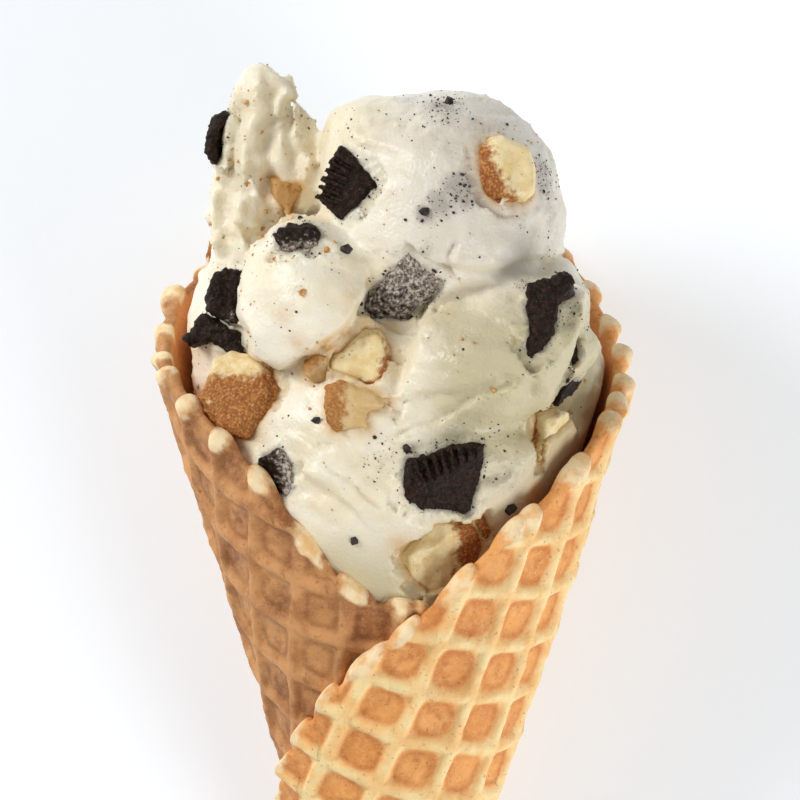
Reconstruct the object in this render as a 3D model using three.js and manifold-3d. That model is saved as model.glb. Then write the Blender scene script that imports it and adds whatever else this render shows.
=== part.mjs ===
// Frozen custard in a rolled waffle cone, lying on its back with its front up. Millimetres.
//
// The waffle is baked as a flat disc with a square grid of ridges and is rolled round a cone, so it is
// drawn flat here and then rolled. The custard is a heap of scooped lobes that run into one another. Broken
// chocolate cookies and cubes of cheesecake with a crumb crust sit in sockets in it.
//
// Everything is drawn upright, with the tip of the cone at the origin, +Z up the axis, +X to the viewer's
// right and -Y towards the viewer. The last section lays it down.

import * as THREE from "three";
import { mergeVertices } from "three/addons/utils/BufferGeometryUtils.js";
import Module from "manifold-3d";

const wasm = await Module();
wasm.setup();

const degrees = THREE.MathUtils.degToRad;

// ---------------------------------------------------------------- driving dimensions

// The waffle, flat
const DISC_RADIUS = 91.3; // a 7 inch disc, near enough
const TIP_INSET = 15.3; // the cone's tip lies this far inside the disc's edge
const SHEET = 2.0; // thickness between the ridges
const RIDGE = 0.9; // ridges stand this far proud
const RIDGE_WIDTH = 4.6; // at their foot
const GRID_PITCH = 10.4;
const GRID_TURN = degrees(34.5); // from the line that runs up the back of the cone
const LINING_PITCH = 15; // facets of the smooth inner face
const CHORD_DEPTH = 0.55; // how far a facet may depart from the roll

// The waffle, rolled
const HALF_ANGLE = degrees(17);
const BACK_TURN = degrees(191.5); // the disc's middle line, measured round from the viewer
const ROLL_FROM = degrees(-240); // the inner flap's end, measured from that middle line
const ROLL_TO = degrees(330); // the outer flap's end
const LAYER_GAP = 0.35; // where one turn lies on another
const TURN_STEP = SHEET + RIDGE + LAYER_GAP;
const ROLL_INSET = 6.9; // the innermost face lies this far inside the cone of HALF_ANGLE
const TIP_HOLE = 28; // the sheet starts here, and a plug of batter closes the tip
const PLUG = { radius: 7.2, top: 38, taperFrom: 31.5, round: 2.3, bottom: 10 };
const FLAT_DEPTH = 1.15; // taken off the ridges and the sheet that the cone lies on

// The rim
const KNOB_HALF = 2.7; // knobs of pale batter, half as wide as this and this far out, more or less
const KNOB_OUT = 2.3;
const RIM_STEP = 4.4; // facets between the knobs
const SHORTEST_RIM = 0.9; // where two knobs meet
// Where the rim departs from a round disc's: lower where depth is above nought, and higher where it is below.
const RIM_DIPS = [
  { at: degrees(-154), half: degrees(22), depth: 9.5 }, // the left flap dips before it goes under
  { at: degrees(-78), half: degrees(20), depth: 3.6 }, // and stands a little lower on the far left
  { at: degrees(40), half: degrees(27), depth: -6 }, // the back stands higher on the right
];

// The custard
const FILL_GAP = 0.35; // between the custard and whatever it touches
const WALL_GAP = FILL_GAP + CHORD_DEPTH; // between the custard and the waffle
const FILL_FROM = 38.5; // height of the custard's lowest point inside the cone
const FILL_SOLID = 100; // it fills the cone all over up to this height
const EXTENDED_TO = 215; // the cone's inner face carried on above the rim, as a limit
const CUSTARD_CELL = 5.15; // size of the custard's facets
const SHORTEST_EDGE = 0.06; // what a cut leaves that is shorter is drawn together
// Pieces are placed as someone sees them who looks from the front and a little above.
const VIEW = { tilt: degrees(12), distance: 720, right: 1.7, up: 140.2 };
const CRUMB = 1.5; // radius of a crumb that is stuck to the custard

// The pieces in it
const SOCKET_GAP = 1.4 * FILL_GAP; // from a piece's middle outwards, so less across a slanted face
const FACES_VIEWER = 0.7; // a piece faces this share of the way from the custard's surface to the viewer
// How far a chunk's faces are drawn in, how deep its worn edge is and how uneven it is.
const COOKIE = { worn: 0.86, edge: 0.9, rough: 0.35 };
const CHEESECAKE = { worn: 0.76, edge: 2.1, rough: 0.45 };
const FLUTE = { pitch: 1.5, width: 0.85, height: 0.7, fan: 0.035 };

// ---------------------------------------------------------------- small tools

// A repeatable random number between low and high.
let seed = 20240611;
function random(low = 0, high = 1) {
  seed = (Math.imul(seed, 1664525) + 1013904223) >>> 0;
  return low + ((high - low) * seed) / 4294967296;
}

// A closed geometry as a solid that can be cut and joined.
function solidOf(geometry) {
  const bare = new THREE.BufferGeometry();
  bare.setAttribute("position", geometry.getAttribute("position").clone());
  bare.setIndex(geometry.index);
  const merged = mergeVertices(bare, 1e-3);
  return new wasm.Manifold(
    new wasm.Mesh({
      numProp: 3,
      vertProperties: new Float32Array(merged.attributes.position.array),
      triVerts: new Uint32Array(merged.index.array),
    }),
  );
}

// The same, moved by a matrix.
function placedSolid(geometry, matrix) {
  return solidOf(geometry.clone().applyMatrix4(matrix));
}

function geometryOf(solid) {
  const mesh = solid.getMesh();
  const geometry = new THREE.BufferGeometry();
  const points = new Float32Array(mesh.vertProperties);
  geometry.setAttribute("position", new THREE.BufferAttribute(points, 3));
  geometry.setIndex(new THREE.BufferAttribute(new Uint32Array(mesh.triVerts), 1));
  geometry.computeVertexNormals();
  return geometry;
}

// The largest body of a solid, without any loose scraps.
function largestBody(solid) {
  return solid.decompose().sort((a, b) => b.volume() - a.volume())[0];
}

// A closed slab over a grid of lines, between two height functions.
function gridSlab(xs, ys, top, bottom) {
  const columns = xs.length;
  const rows = ys.length;
  const points = [];
  for (const height of [top, bottom])
    for (const y of ys) for (const x of xs) points.push(x, y, height(x, y));
  const lower = columns * rows;
  const at = (i, j) => j * columns + i;
  const faces = [];
  for (let j = 0; j < rows - 1; j++)
    for (let i = 0; i < columns - 1; i++) {
      const [a, b, c, d] = [at(i, j), at(i + 1, j), at(i + 1, j + 1), at(i, j + 1)];
      const height = (k) => points[3 * k + 2];
      // The diagonal follows the crest, so that crossing ridges meet in a mitre.
      if (height(a) + height(c) >= height(b) + height(d)) faces.push(a, b, c, a, c, d);
      else faces.push(a, b, d, b, c, d);
      faces.push(lower + a, lower + c, lower + b, lower + a, lower + d, lower + c);
    }
  const wall = (a, b) => faces.push(a, lower + a, b, b, lower + a, lower + b);
  for (let i = 0; i < columns - 1; i++) {
    wall(at(i, 0), at(i + 1, 0));
    wall(at(i + 1, rows - 1), at(i, rows - 1));
  }
  for (let j = 0; j < rows - 1; j++) {
    wall(at(0, j + 1), at(0, j));
    wall(at(columns - 1, j), at(columns - 1, j + 1));
  }
  const geometry = new THREE.BufferGeometry();
  geometry.setAttribute("position", new THREE.Float32BufferAttribute(points, 3));
  geometry.setIndex(faces);
  return geometry;
}

// Halves every edge for which tooLong(one end, other end) holds, until none is left.
function splitLongEdges(geometry, tooLong) {
  const points = Array.from(geometry.getAttribute("position").array);
  let faces = Array.from(geometry.index.array);
  const point = (k) => new THREE.Vector3().fromArray(points, 3 * k);
  for (let split = true; split; ) {
    split = false;
    const middles = new Map();
    const middle = (a, b) => {
      const key = a < b ? a + "," + b : b + "," + a;
      if (!middles.has(key)) {
        const [p, q] = [point(a), point(b)];
        const long = tooLong(p, q);
        if (long) points.push((p.x + q.x) / 2, (p.y + q.y) / 2, (p.z + q.z) / 2);
        middles.set(key, long ? points.length / 3 - 1 : -1);
      }
      return middles.get(key);
    };
    const next = [];
    for (let f = 0; f < faces.length; f += 3) {
      let [a, b, c] = faces.slice(f, f + 3);
      let [ab, bc, ca] = [middle(a, b), middle(b, c), middle(c, a)];
      const count = [ab, bc, ca].filter((m) => m >= 0).length;
      if (count === 0) {
        next.push(a, b, c);
        continue;
      }
      split = true;
      if (count === 3) {
        next.push(a, ab, ca, ab, b, bc, ca, bc, c, ab, bc, ca);
        continue;
      }
      // Turned so that the first edge is cut, and with two cuts the third edge isn't.
      while (ab < 0 || (count === 2 && bc < 0)) {
        [a, b, c] = [b, c, a];
        [ab, bc, ca] = [bc, ca, ab];
      }
      if (count === 1) next.push(a, ab, c, ab, b, c);
      else next.push(a, ab, c, ab, b, bc, ab, bc, c);
    }
    faces = next;
  }
  const made = new THREE.BufferGeometry();
  made.setAttribute("position", new THREE.Float32BufferAttribute(points, 3));
  made.setIndex(faces);
  return made;
}

// Draws together the ends of every edge shorter than shortest, wherever the surface stays a closed one.
function withoutShortEdges(geometry, shortest) {
  const points = Array.from(geometry.getAttribute("position").array);
  const index = geometry.index.array;
  const faces = [];
  for (let f = 0; f < index.length; f += 3) faces.push([index[f], index[f + 1], index[f + 2]]);
  const facesAt = new Map();
  for (const face of faces)
    for (const v of face) facesAt.set(v, new Set([...(facesAt.get(v) ?? []), face]));
  const around = (v) => new Set([...facesAt.get(v)].flat());
  const length = (a, b) =>
    Math.hypot(...[0, 1, 2].map((n) => points[3 * a + n] - points[3 * b + n]));
  const tip = (v) => new THREE.Vector3().fromArray(points, 3 * v);
  const tips = (face) => new THREE.Triangle(...face.map(tip));
  const turnsOver = (face, from, to) => {
    const before = tips(face).getNormal(new THREE.Vector3());
    const after = tips(face.map((v) => (v === from ? to : v))).getNormal(new THREE.Vector3());
    return before.dot(after) < 0.2;
  };
  const drop = (from, to) => {
    const shared = [...facesAt.get(from)].filter((face) => face.includes(to));
    const common = [...around(from)].filter((v) => v !== from && v !== to && around(to).has(v));
    if (shared.length !== 2 || common.length !== 2) return false;
    const moved = [...facesAt.get(from)].filter((face) => !face.includes(to));
    if (moved.some((face) => tips(face).getArea() > 1e-4 && turnsOver(face, from, to))) return false;
    for (const face of shared) for (const v of face) facesAt.get(v).delete(face);
    for (const face of moved) {
      face[face.indexOf(from)] = to;
      facesAt.get(to).add(face);
    }
    facesAt.delete(from);
    return true;
  };
  for (let changed = true; changed; ) {
    changed = false;
    for (const v of [...facesAt.keys()])
      for (const other of facesAt.has(v) ? around(v) : [])
        if (other !== v && length(v, other) < shortest && drop(v, other)) {
          changed = true;
          break;
        }
  }
  const kept = new Set([...facesAt.values()].flatMap((set) => [...set]));
  const made = new THREE.BufferGeometry();
  made.setAttribute("position", new THREE.Float32BufferAttribute(points, 3));
  made.setIndex([...kept].flat());
  return made;
}

// ---------------------------------------------------------------- the waffle cone

const sinHalf = Math.sin(HALF_ANGLE);
const cosHalf = Math.cos(HALF_ANGLE);

// A point of the rolled sheet: slant distance from the tip, angle round the roll, and height above the
// sheet's inner face.
function rolled(slant, angle, height) {
  const lift = (TURN_STEP * (angle - ROLL_FROM)) / (2 * Math.PI) - ROLL_INSET + height;
  const radius = slant * sinHalf + lift * cosHalf;
  const side = BACK_TURN - angle;
  return new THREE.Vector3(
    radius * Math.sin(side),
    -radius * Math.cos(side),
    slant * cosHalf - lift * sinHalf,
  );
}

// Batter ran out of the iron along each ridge, so a knob sits wherever a ridge meets the disc's edge.
function rimKnobs() {
  const knobs = [];
  const middle = new THREE.Vector2(0, DISC_RADIUS - TIP_INSET);
  for (const turn of [GRID_TURN, GRID_TURN + Math.PI / 2]) {
    const across = new THREE.Vector2(Math.cos(turn), Math.sin(turn));
    const along = new THREE.Vector2(-across.y, across.x);
    const first = Math.ceil((middle.dot(across) - DISC_RADIUS) / GRID_PITCH);
    const last = Math.floor((middle.dot(across) + DISC_RADIUS) / GRID_PITCH);
    for (let line = first; line <= last; line++)
      for (const side of [-1, 1]) {
        const away = line * GRID_PITCH - middle.dot(across);
        const reach = side * Math.sqrt(DISC_RADIUS ** 2 - away ** 2);
        const end = middle.clone().addScaledVector(across, away).addScaledVector(along, reach);
        const angle = Math.atan2(-end.x, end.y) / sinHalf;
        const half = KNOB_HALF * random(0.75, 1.3);
        const out = KNOB_OUT * random(0.45, 1.25);
        if (angle > ROLL_FROM && angle < ROLL_TO) knobs.push({ angle, half, out });
      }
  }
  return knobs.sort((a, b) => a.angle - b.angle);
}
const knobs = rimKnobs();

// Slant distance from the tip to the edge of the disc, without the knobs.
function discSlant(angle) {
  const turned = angle * sinHalf;
  const offset = DISC_RADIUS - TIP_INSET;
  const round =
    offset * Math.cos(turned) + Math.sqrt(DISC_RADIUS ** 2 - (offset * Math.sin(turned)) ** 2);
  const wave = 0.8 * Math.sin(3.1 * angle + 0.6) + 0.5 * Math.sin(7.3 * angle);
  const dips = RIM_DIPS.map((dip) => dip.depth * Math.exp(-(((angle - dip.at) / dip.half) ** 2)));
  return round + wave - dips.reduce((sum, depth) => sum + depth);
}

// The angle that a length along the rim spans there.
function rimTurn(length, angle) {
  return length / (discSlant(angle) * sinHalf);
}

// The same distance with the knobs.
function rimSlant(angle) {
  const outs = knobs.map((knob) => {
    const along = (angle - knob.angle) / rimTurn(knob.half, knob.angle);
    return Math.abs(along) < 1 ? knob.out * Math.sqrt(1 - along * along) : 0;
  });
  return discSlant(angle) + Math.max(...outs);
}

// A point of the flat sheet, seen from its outer face with the tip at the origin.
function flatPoint(slant, angle) {
  const turned = angle * sinHalf;
  return new THREE.Vector2(-slant * Math.sin(turned), slant * Math.cos(turned));
}

function sheetOutline() {
  const angles = [ROLL_FROM, ROLL_TO];
  for (const knob of knobs)
    for (const part of [-0.97, -0.5, 0.5, 0.97]) {
      const angle = knob.angle + part * rimTurn(knob.half, knob.angle);
      if (angle > ROLL_FROM && angle < ROLL_TO) angles.push(angle);
    }
  angles.sort((a, b) => a - b);
  const outline = [];
  angles.forEach((angle, i) => {
    const next = angles[Math.min(i + 1, angles.length - 1)];
    const steps = Math.round((next - angle) / rimTurn(RIM_STEP, angle));
    const last = outline.length > 0 ? outline[outline.length - 1] : null;
    const point = flatPoint(rimSlant(angle), angle);
    if (!last || last.distanceTo(point) > SHORTEST_RIM || angle === ROLL_TO) outline.push(point);
    for (let step = 1; step < steps; step++) {
      const between = angle + ((next - angle) * step) / steps;
      outline.push(flatPoint(rimSlant(between), between));
    }
  });
  const holeSteps = 12;
  for (let i = 0; i <= holeSteps; i++)
    outline.push(flatPoint(TIP_HOLE, ROLL_TO + ((ROLL_FROM - ROLL_TO) * i) / holeSteps));
  return new THREE.Shape(outline);
}

// Whether a point of the flat grid lies under the next turn of the roll, where ridges are pressed flat.
function isCovered(x, y) {
  const p = new THREE.Vector2(x, y).rotateAround(new THREE.Vector2(), GRID_TURN);
  const angle = Math.atan2(-p.x, p.y) / sinHalf;
  const next = angle + 2 * Math.PI;
  return next < ROLL_TO && p.length() < rimSlant(next) - GRID_PITCH / 2;
}

function flatSheet() {
  const reach = 2 * DISC_RADIUS + 12;
  const outerLines = [];
  const innerLines = [];
  for (let k = -Math.ceil(reach / GRID_PITCH); k <= reach / GRID_PITCH; k++)
    for (const side of [-0.5, 0, 0.5]) outerLines.push(k * GRID_PITCH + side * RIDGE_WIDTH);
  for (let k = -Math.ceil(reach / LINING_PITCH); k <= reach / LINING_PITCH; k++)
    innerLines.push((k + 0.5) * LINING_PITCH);
  const crest = (g) => {
    const away = Math.abs(g - GRID_PITCH * Math.round(g / GRID_PITCH));
    return Math.max(0, 1 - (2 * away) / RIDGE_WIDTH);
  };
  const ridge = (x, y) => (isCovered(x, y) ? 0 : RIDGE * Math.max(crest(x), crest(y)));
  const outer = gridSlab(
    outerLines,
    outerLines,
    (x, y) => SHEET + ridge(x, y),
    () => 0.4 * SHEET,
  );
  // The lining wanders by a hundredth of a millimetre, so that no facets are merged into long ones.
  const inner = gridSlab(
    innerLines,
    innerLines,
    () => 0.6 * SHEET,
    (x, y) => 0.01 * Math.sin(x * 1.7 + y * 2.3),
  );
  const turn = new THREE.Matrix4().makeRotationZ(GRID_TURN);
  const slab = placedSolid(outer, turn).add(placedSolid(inner, turn));
  const tall = 4 * (SHEET + RIDGE);
  const prism = new THREE.ExtrudeGeometry(sheetOutline(), { depth: tall, bevelEnabled: false });
  return slab.intersect(placedSolid(prism, new THREE.Matrix4().makeTranslation(0, 0, -tall / 2)));
}

function rolledSheet() {
  // Facets are finer towards the tip, where the sheet bends more.
  const tooLong = (p, q) => {
    const middle = p.clone().add(q).multiplyScalar(0.5).setZ(0);
    const slant = Math.max(middle.length(), 1);
    const along = q.clone().sub(p).cross(middle).z / slant;
    return along * along > 8 * CHORD_DEPTH * slant * sinHalf;
  };
  const fine = splitLongEdges(geometryOf(flatSheet()), tooLong);
  const place = fine.getAttribute("position");
  for (let i = 0; i < place.count; i++) {
    const slant = Math.hypot(place.getX(i), place.getY(i));
    const angle = Math.atan2(-place.getX(i), place.getY(i)) / sinHalf;
    const point = rolled(slant, angle, place.getZ(i));
    place.setXYZ(i, point.x, point.y, point.z);
  }
  return solidOf(fine);
}

// The pinched tip, where the batter has run together. It goes on tapering as the cone does, down to a
// rounded end.
function tipPlug() {
  const profile = [new THREE.Vector2(0, PLUG.top), new THREE.Vector2(PLUG.radius, PLUG.top)];
  profile.push(new THREE.Vector2(PLUG.radius, PLUG.taperFrom));
  const steps = 4;
  for (let i = 0; i <= steps; i++) {
    const turn = (i / steps) * (Math.PI / 2);
    const height = PLUG.bottom + PLUG.round * (1 - Math.sin(turn));
    profile.push(new THREE.Vector2(i < steps ? PLUG.round * Math.cos(turn) : 0, height));
  }
  const plug = new THREE.LatheGeometry(profile.reverse(), 18).rotateX(Math.PI / 2);
  return placedSolid(plug, new THREE.Matrix4());
}

// How high the back of the cone stands off the mid-line that it would lie on, down to the flat.
const backLift =
  (TURN_STEP * (BACK_TURN - Math.PI - ROLL_FROM)) / (2 * Math.PI) -
  ROLL_INSET +
  SHEET +
  RIDGE -
  FLAT_DEPTH;

// Everything below the surface that the cone lies on, in the upright frame.
function belowTheFlat() {
  const slab = new THREE.BoxGeometry(300, 400, 40).translate(0, 0, -20 - backLift);
  const upright = new THREE.Matrix4().makeRotationX(Math.PI / 2 - HALF_ANGLE);
  return placedSolid(slab, upright);
}

// How high the sheet's inner face stands at a turn round from the inner flap's end, less a gap. It stands
// further out the further it has been rolled.
function roomLift(turn, gap) {
  const eased = Math.min(turn, (2 * Math.PI - turn) * 6);
  return (TURN_STEP * eased) / (2 * Math.PI) - ROLL_INSET - gap;
}

// Distance to the sheet's inner face, less a gap: negative in the room inside it.
function roomDistance(p, gap) {
  const side = Math.atan2(p.x, -p.y);
  const turn = THREE.MathUtils.euclideanModulo(BACK_TURN - side - ROLL_FROM, 2 * Math.PI);
  const lift = roomLift(turn, gap);
  const slant = (p.z + lift * sinHalf) / cosHalf;
  return (Math.hypot(p.x, p.y) - slant * sinHalf - lift * cosHalf) * cosHalf;
}

// The room inside the rolled sheet, less a gap, carried on past the rim as far as the custard reaches.
function roomInCone(gap) {
  const sides = 56;
  const rings = [FILL_FROM, EXTENDED_TO].map((height) => {
    const ring = [];
    for (let i = 0; i < sides; i++) {
      const turn = (i / sides) * 2 * Math.PI;
      const lift = roomLift(turn, gap);
      const slant = (height + lift * sinHalf) / cosHalf;
      const radius = slant * sinHalf + lift * cosHalf;
      const side = BACK_TURN - (ROLL_FROM + turn);
      ring.push([radius * Math.sin(side), -radius * Math.cos(side), height]);
    }
    return ring;
  });
  const points = [...rings[0], ...rings[1], [0, 0, FILL_FROM], [0, 0, EXTENDED_TO]];
  const faces = [];
  for (let i = 0; i < sides; i++) {
    const j = (i + 1) % sides;
    faces.push(i, sides + i, j, j, sides + i, sides + j);
    faces.push(2 * sides, i, j, 2 * sides + 1, sides + j, sides + i);
  }
  const geometry = new THREE.BufferGeometry();
  geometry.setAttribute("position", new THREE.Float32BufferAttribute(points.flat(), 3));
  geometry.setIndex(faces);
  const made = solidOf(geometry);
  return made.volume() > 0 ? made : solidOf(reversed(geometry));
}

function reversed(geometry) {
  const index = geometry.index.array;
  for (let f = 0; f < index.length; f += 3) [index[f], index[f + 1]] = [index[f + 1], index[f]];
  return geometry;
}

// ---------------------------------------------------------------- the custard

// Lobes of custard: middle, half sizes, lean to the viewer's left in degrees, and how softly it joins the
// others. Middles are given as right, towards the viewer, and up the axis.
const LOBES = [
  { at: [0, -1, 122], half: [37, 33, 44], lean: 0, soft: 3 }, // the filling
  { at: [2, -17, 156], half: [28, 20, 20], lean: 0, soft: 5 }, // against the back wall
  { at: [9.0, 0, 173.6], half: [21.9, 22.5, 22], lean: 0, soft: 3 }, // the ball
  { at: [-2.2, 0, 184.5], half: [10, 13, 10.2], lean: 20, soft: 4 }, // its shoulder
  { at: [-13.5, 10, 160], half: [13.5, 17, 15], lean: 10, soft: 2 }, // left of the ball
  { at: [17, 13, 151], half: [21, 18, 13], lean: 18, soft: 2 }, // the smooth fold on the right
  { at: [-2, 13, 138], half: [20, 17, 15], lean: -8, soft: 2.5 }, // the middle of the front
  { at: [13, 11, 126], half: [20, 18, 18], lean: 12, soft: 3 }, // above the overlap
  { at: [-10, 12, 121], half: [17, 16, 26], lean: 24, soft: 2.5 }, // the tongue down the left
  { at: [20, 13.5, 122], half: [12.5, 14, 21], lean: -30, soft: 4 }, // along the right flap's rim
  { at: [25.4, 4, 153], half: [8.6, 14, 15], lean: -12, soft: 2 }, // the lobe on the far right
  { at: [30, -5, 140], half: [8, 14, 14], lean: -10, soft: 2 }, // behind it
  { at: [-23, -9, 148], half: [13, 20, 20], lean: 8, soft: 3 }, // under the peak
  { at: [-24.5, -4, 170], half: [8.2, 6.5, 20], lean: 0, soft: 3 }, // the peak's foot
  { at: [-22, -4, 185], half: [8.2, 5.6, 13], lean: 5, soft: 2 }, // the peak
  { at: [-15.5, -4, 182], half: [4.5, 5.6, 11], lean: 24, soft: 3 }, // its right edge
  { at: [-22.4, -4, 193.8], half: [6.2, 4.4, 6.4], lean: 30, soft: 1.5 }, // its tip
];

// Distance to an ellipsoid, near enough for blending.
function lobeDistance(lobe, x, front, up) {
  const lean = degrees(lobe.lean);
  const dx = x - lobe.at[0];
  const dz = up - lobe.at[2];
  const p = [
    dx * Math.cos(lean) + dz * Math.sin(lean),
    front - lobe.at[1],
    -dx * Math.sin(lean) + dz * Math.cos(lean),
  ];
  const near = Math.hypot(...p.map((value, i) => value / lobe.half[i]));
  const slope = Math.hypot(...p.map((value, i) => value / lobe.half[i] ** 2));
  return slope < 1e-9 ? -Math.min(...lobe.half) : (near * (near - 1)) / slope;
}

// Distance to the custard: negative inside. The lobes join with a crease as soft as each one says.
function custardDistance(x, front, up) {
  let distance = lobeDistance(LOBES[0], x, front, up);
  for (const lobe of LOBES.slice(1)) {
    const other = lobeDistance(lobe, x, front, up);
    const mix = THREE.MathUtils.clamp(0.5 + (0.5 * (distance - other)) / lobe.soft, 0, 1);
    distance = distance + (other - distance) * mix - lobe.soft * mix * (1 - mix);
  }
  return distance;
}

// A cell's corners are numbered by their x, y and z bits. Its edges are pairs of corners and its faces are
// rings of them.
const CELL_EDGES = [];
for (let corner = 0; corner < 8; corner++)
  for (const bit of [1, 2, 4]) if (!(corner & bit)) CELL_EDGES.push([corner, corner | bit]);
const CELL_FACES = [0, 1, 2].flatMap((axis) => {
  const [u, w] = [1 << ((axis + 1) % 3), 1 << ((axis + 2) % 3)];
  return [0, 1 << axis].map((base) => [base, base | u, base | u | w, base | w]);
});
function cellEdge(a, b) {
  return CELL_EDGES.findIndex(([p, q]) => (p === a && q === b) || (p === b && q === a));
}

// Which patch of the surface each crossed edge of a cell belongs to, for the values at its corners; -1 if
// not crossed.
function cellPatches(values) {
  const inside = values.map((value) => value < 0);
  const patch = CELL_EDGES.map(([a, b], i) => (inside[a] === inside[b] ? -1 : i));
  const link = (a, b) => {
    const [from, to] = [patch[a], patch[b]];
    patch.forEach((value, i) => value === from && (patch[i] = to));
  };
  for (const ring of CELL_FACES) {
    const crossed = ring
      .map((corner, i) => cellEdge(corner, ring[(i + 1) % 4]))
      .filter((edge) => patch[edge] >= 0);
    if (crossed.length === 2) link(...crossed);
    if (crossed.length !== 4) continue;
    // Two corners that face each other across the ring are inside, and are kept apart.
    ring.forEach((corner, i) => {
      if (inside[corner])
        link(cellEdge(corner, ring[(i + 1) % 4]), cellEdge(corner, ring[(i + 3) % 4]));
    });
  }
  return patch;
}

// The closed surface where field(x, y, z) is nought: a point for each patch of it in each cell, and a face
// over each crossed edge between four cells.
function surfaceOf(field, low, high, cell) {
  const size = [0, 1, 2].map((k) => Math.ceil((high[k] - low[k]) / cell) + 1);
  const index = (i, j, k) => (k * size[1] + j) * size[0] + i;
  const place = (i, j, k) => [low[0] + i * cell, low[1] + j * cell, low[2] + k * cell];
  const values = new Float64Array(size[0] * size[1] * size[2]);
  for (let k = 0; k < size[2]; k++)
    for (let j = 0; j < size[1]; j++)
      for (let i = 0; i < size[0]; i++) values[index(i, j, k)] = field(...place(i, j, k));
  const bits = (corner) => [corner & 1, (corner >> 1) & 1, (corner >> 2) & 1];
  const points = [];
  const pointOf = new Map();
  const addPoint = (where, patch, number, v, origin) => {
    const crossed = CELL_EDGES.flatMap((_, i) => (patch[i] === number ? [i] : []));
    const sum = [0, 0, 0];
    for (const i of crossed) {
      const [a, b] = CELL_EDGES[i];
      const t = v[a] / (v[a] - v[b]);
      const [start, end] = [bits(a), bits(b)];
      start.forEach((value, n) => (sum[n] += (value + t * (end[n] - value)) / crossed.length));
      pointOf.set(where * CELL_EDGES.length + i, points.length / 3);
    }
    origin.forEach((value, n) => points.push(value + sum[n] * cell));
  };
  for (let k = 0; k < size[2] - 1; k++)
    for (let j = 0; j < size[1] - 1; j++)
      for (let i = 0; i < size[0] - 1; i++) {
        const v = [...Array(8).keys()].map((corner) => {
          const [a, b, c] = bits(corner);
          return values[index(i + a, j + b, k + c)];
        });
        const patch = cellPatches(v);
        for (const number of new Set(patch))
          if (number >= 0) addPoint(index(i, j, k), patch, number, v, place(i, j, k));
      }
  const faces = [];
  for (let k = 1; k < size[2] - 1; k++)
    for (let j = 1; j < size[1] - 1; j++)
      for (let i = 1; i < size[0] - 1; i++)
        for (let axis = 0; axis < 3; axis++) {
          const [u, w] = [1 << ((axis + 1) % 3), 1 << ((axis + 2) % 3)];
          const [di, dj, dk] = bits(1 << axis);
          const here = values[index(i, j, k)] < 0;
          const there = values[index(i + di, j + dj, k + dk)] < 0;
          if (here === there) continue;
          const loop = [0, u, u | w, w].map((back) => {
            const [a, b, c] = bits(back);
            const edge = cellEdge(back, back | (1 << axis));
            return pointOf.get(index(i - a, j - b, k - c) * CELL_EDGES.length + edge);
          });
          if (!here) loop.reverse();
          faces.push(loop[0], loop[1], loop[2], loop[0], loop[2], loop[3]);
        }
  const geometry = new THREE.BufferGeometry();
  geometry.setAttribute("position", new THREE.Float32BufferAttribute(points, 3));
  geometry.setIndex(faces);
  return geometry;
}

// Where a line of sight first meets the custard. right and above are millimetres from the middle of the
// view, and turn is how many degrees the viewer has walked round. Gives the point, the way that the surface
// faces and the way to the viewer.
function seat(right, above, turn) {
  const walk = new THREE.Matrix4().makeRotationZ(degrees(turn));
  const axis = new THREE.Vector3(0, -Math.cos(VIEW.tilt), Math.sin(VIEW.tilt));
  const upward = new THREE.Vector3(0, Math.sin(VIEW.tilt), Math.cos(VIEW.tilt));
  const middle = new THREE.Vector3(VIEW.right, 0, VIEW.up);
  const viewer = middle.clone().addScaledVector(axis, VIEW.distance).applyMatrix4(walk);
  const aim = middle.addScaledVector(upward, above);
  aim.x += right;
  aim.applyMatrix4(walk);
  const toViewer = viewer.sub(aim).normalize();
  const distance = (p) => Math.max(custardDistance(p.x, -p.y, p.z), roomDistance(p, WALL_GAP));
  const point = aim.clone().addScaledVector(toViewer, 80);
  for (let step = 0; step < 1200 && distance(point) > 0; step++)
    point.addScaledVector(toViewer, -0.1);
  const e = 0.5;
  const slope = (axis) => {
    const ahead = point.clone();
    const behind = point.clone();
    ahead[axis] += e;
    behind[axis] -= e;
    return distance(ahead) - distance(behind);
  };
  const normal = new THREE.Vector3(slope("x"), slope("y"), slope("z")).normalize();
  return { point, normal, toViewer };
}

// ---------------------------------------------------------------- cookie and cheesecake pieces

// The outline of a chunk that nobody sees from the front.
function brokenOutline(width, height) {
  const corners = 8;
  return [...Array(corners).keys()].map((i) => {
    const turn = ((i + random(-0.28, 0.28)) / corners) * 2 * Math.PI;
    const reach = random(0.85, 1.12);
    return [(Math.cos(turn) * reach * width) / 2, (Math.sin(turn) * reach * height) / 2];
  });
}

// A broken chunk with this outline, all of whose points are in sight of its middle. Its front edge is worn,
// it narrows towards the back and its faces are uneven.
function chunk(outline, depth, kind) {
  const rings = [
    { scale: kind.worn, height: -depth / 2 },
    { scale: 1, height: depth / 2 - kind.edge },
    { scale: kind.worn, height: depth / 2 },
  ];
  const points = [];
  for (const ring of rings)
    for (const [x, y] of outline)
      points.push(x * ring.scale, y * ring.scale, ring.height + random(-kind.rough, kind.rough));
  const corners = outline.length;
  const upper = (rings.length - 1) * corners;
  const [bottom, top] = [rings.length * corners, rings.length * corners + 1];
  points.push(0, 0, -depth / 2, 0, 0, depth / 2 + kind.rough);
  const faces = [];
  for (let i = 0; i < corners; i++) {
    const j = (i + 1) % corners;
    faces.push(bottom, j, i, top, upper + i, upper + j);
    for (let ring = 0; ring < upper; ring += corners) {
      const [a, b, c, d] = [ring + i, ring + j, ring + corners + j, ring + corners + i];
      faces.push(a, b, c, a, c, d);
    }
  }
  const geometry = new THREE.BufferGeometry();
  geometry.setAttribute("position", new THREE.Float32BufferAttribute(points, 3));
  geometry.setIndex(faces);
  return geometry;
}

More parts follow.
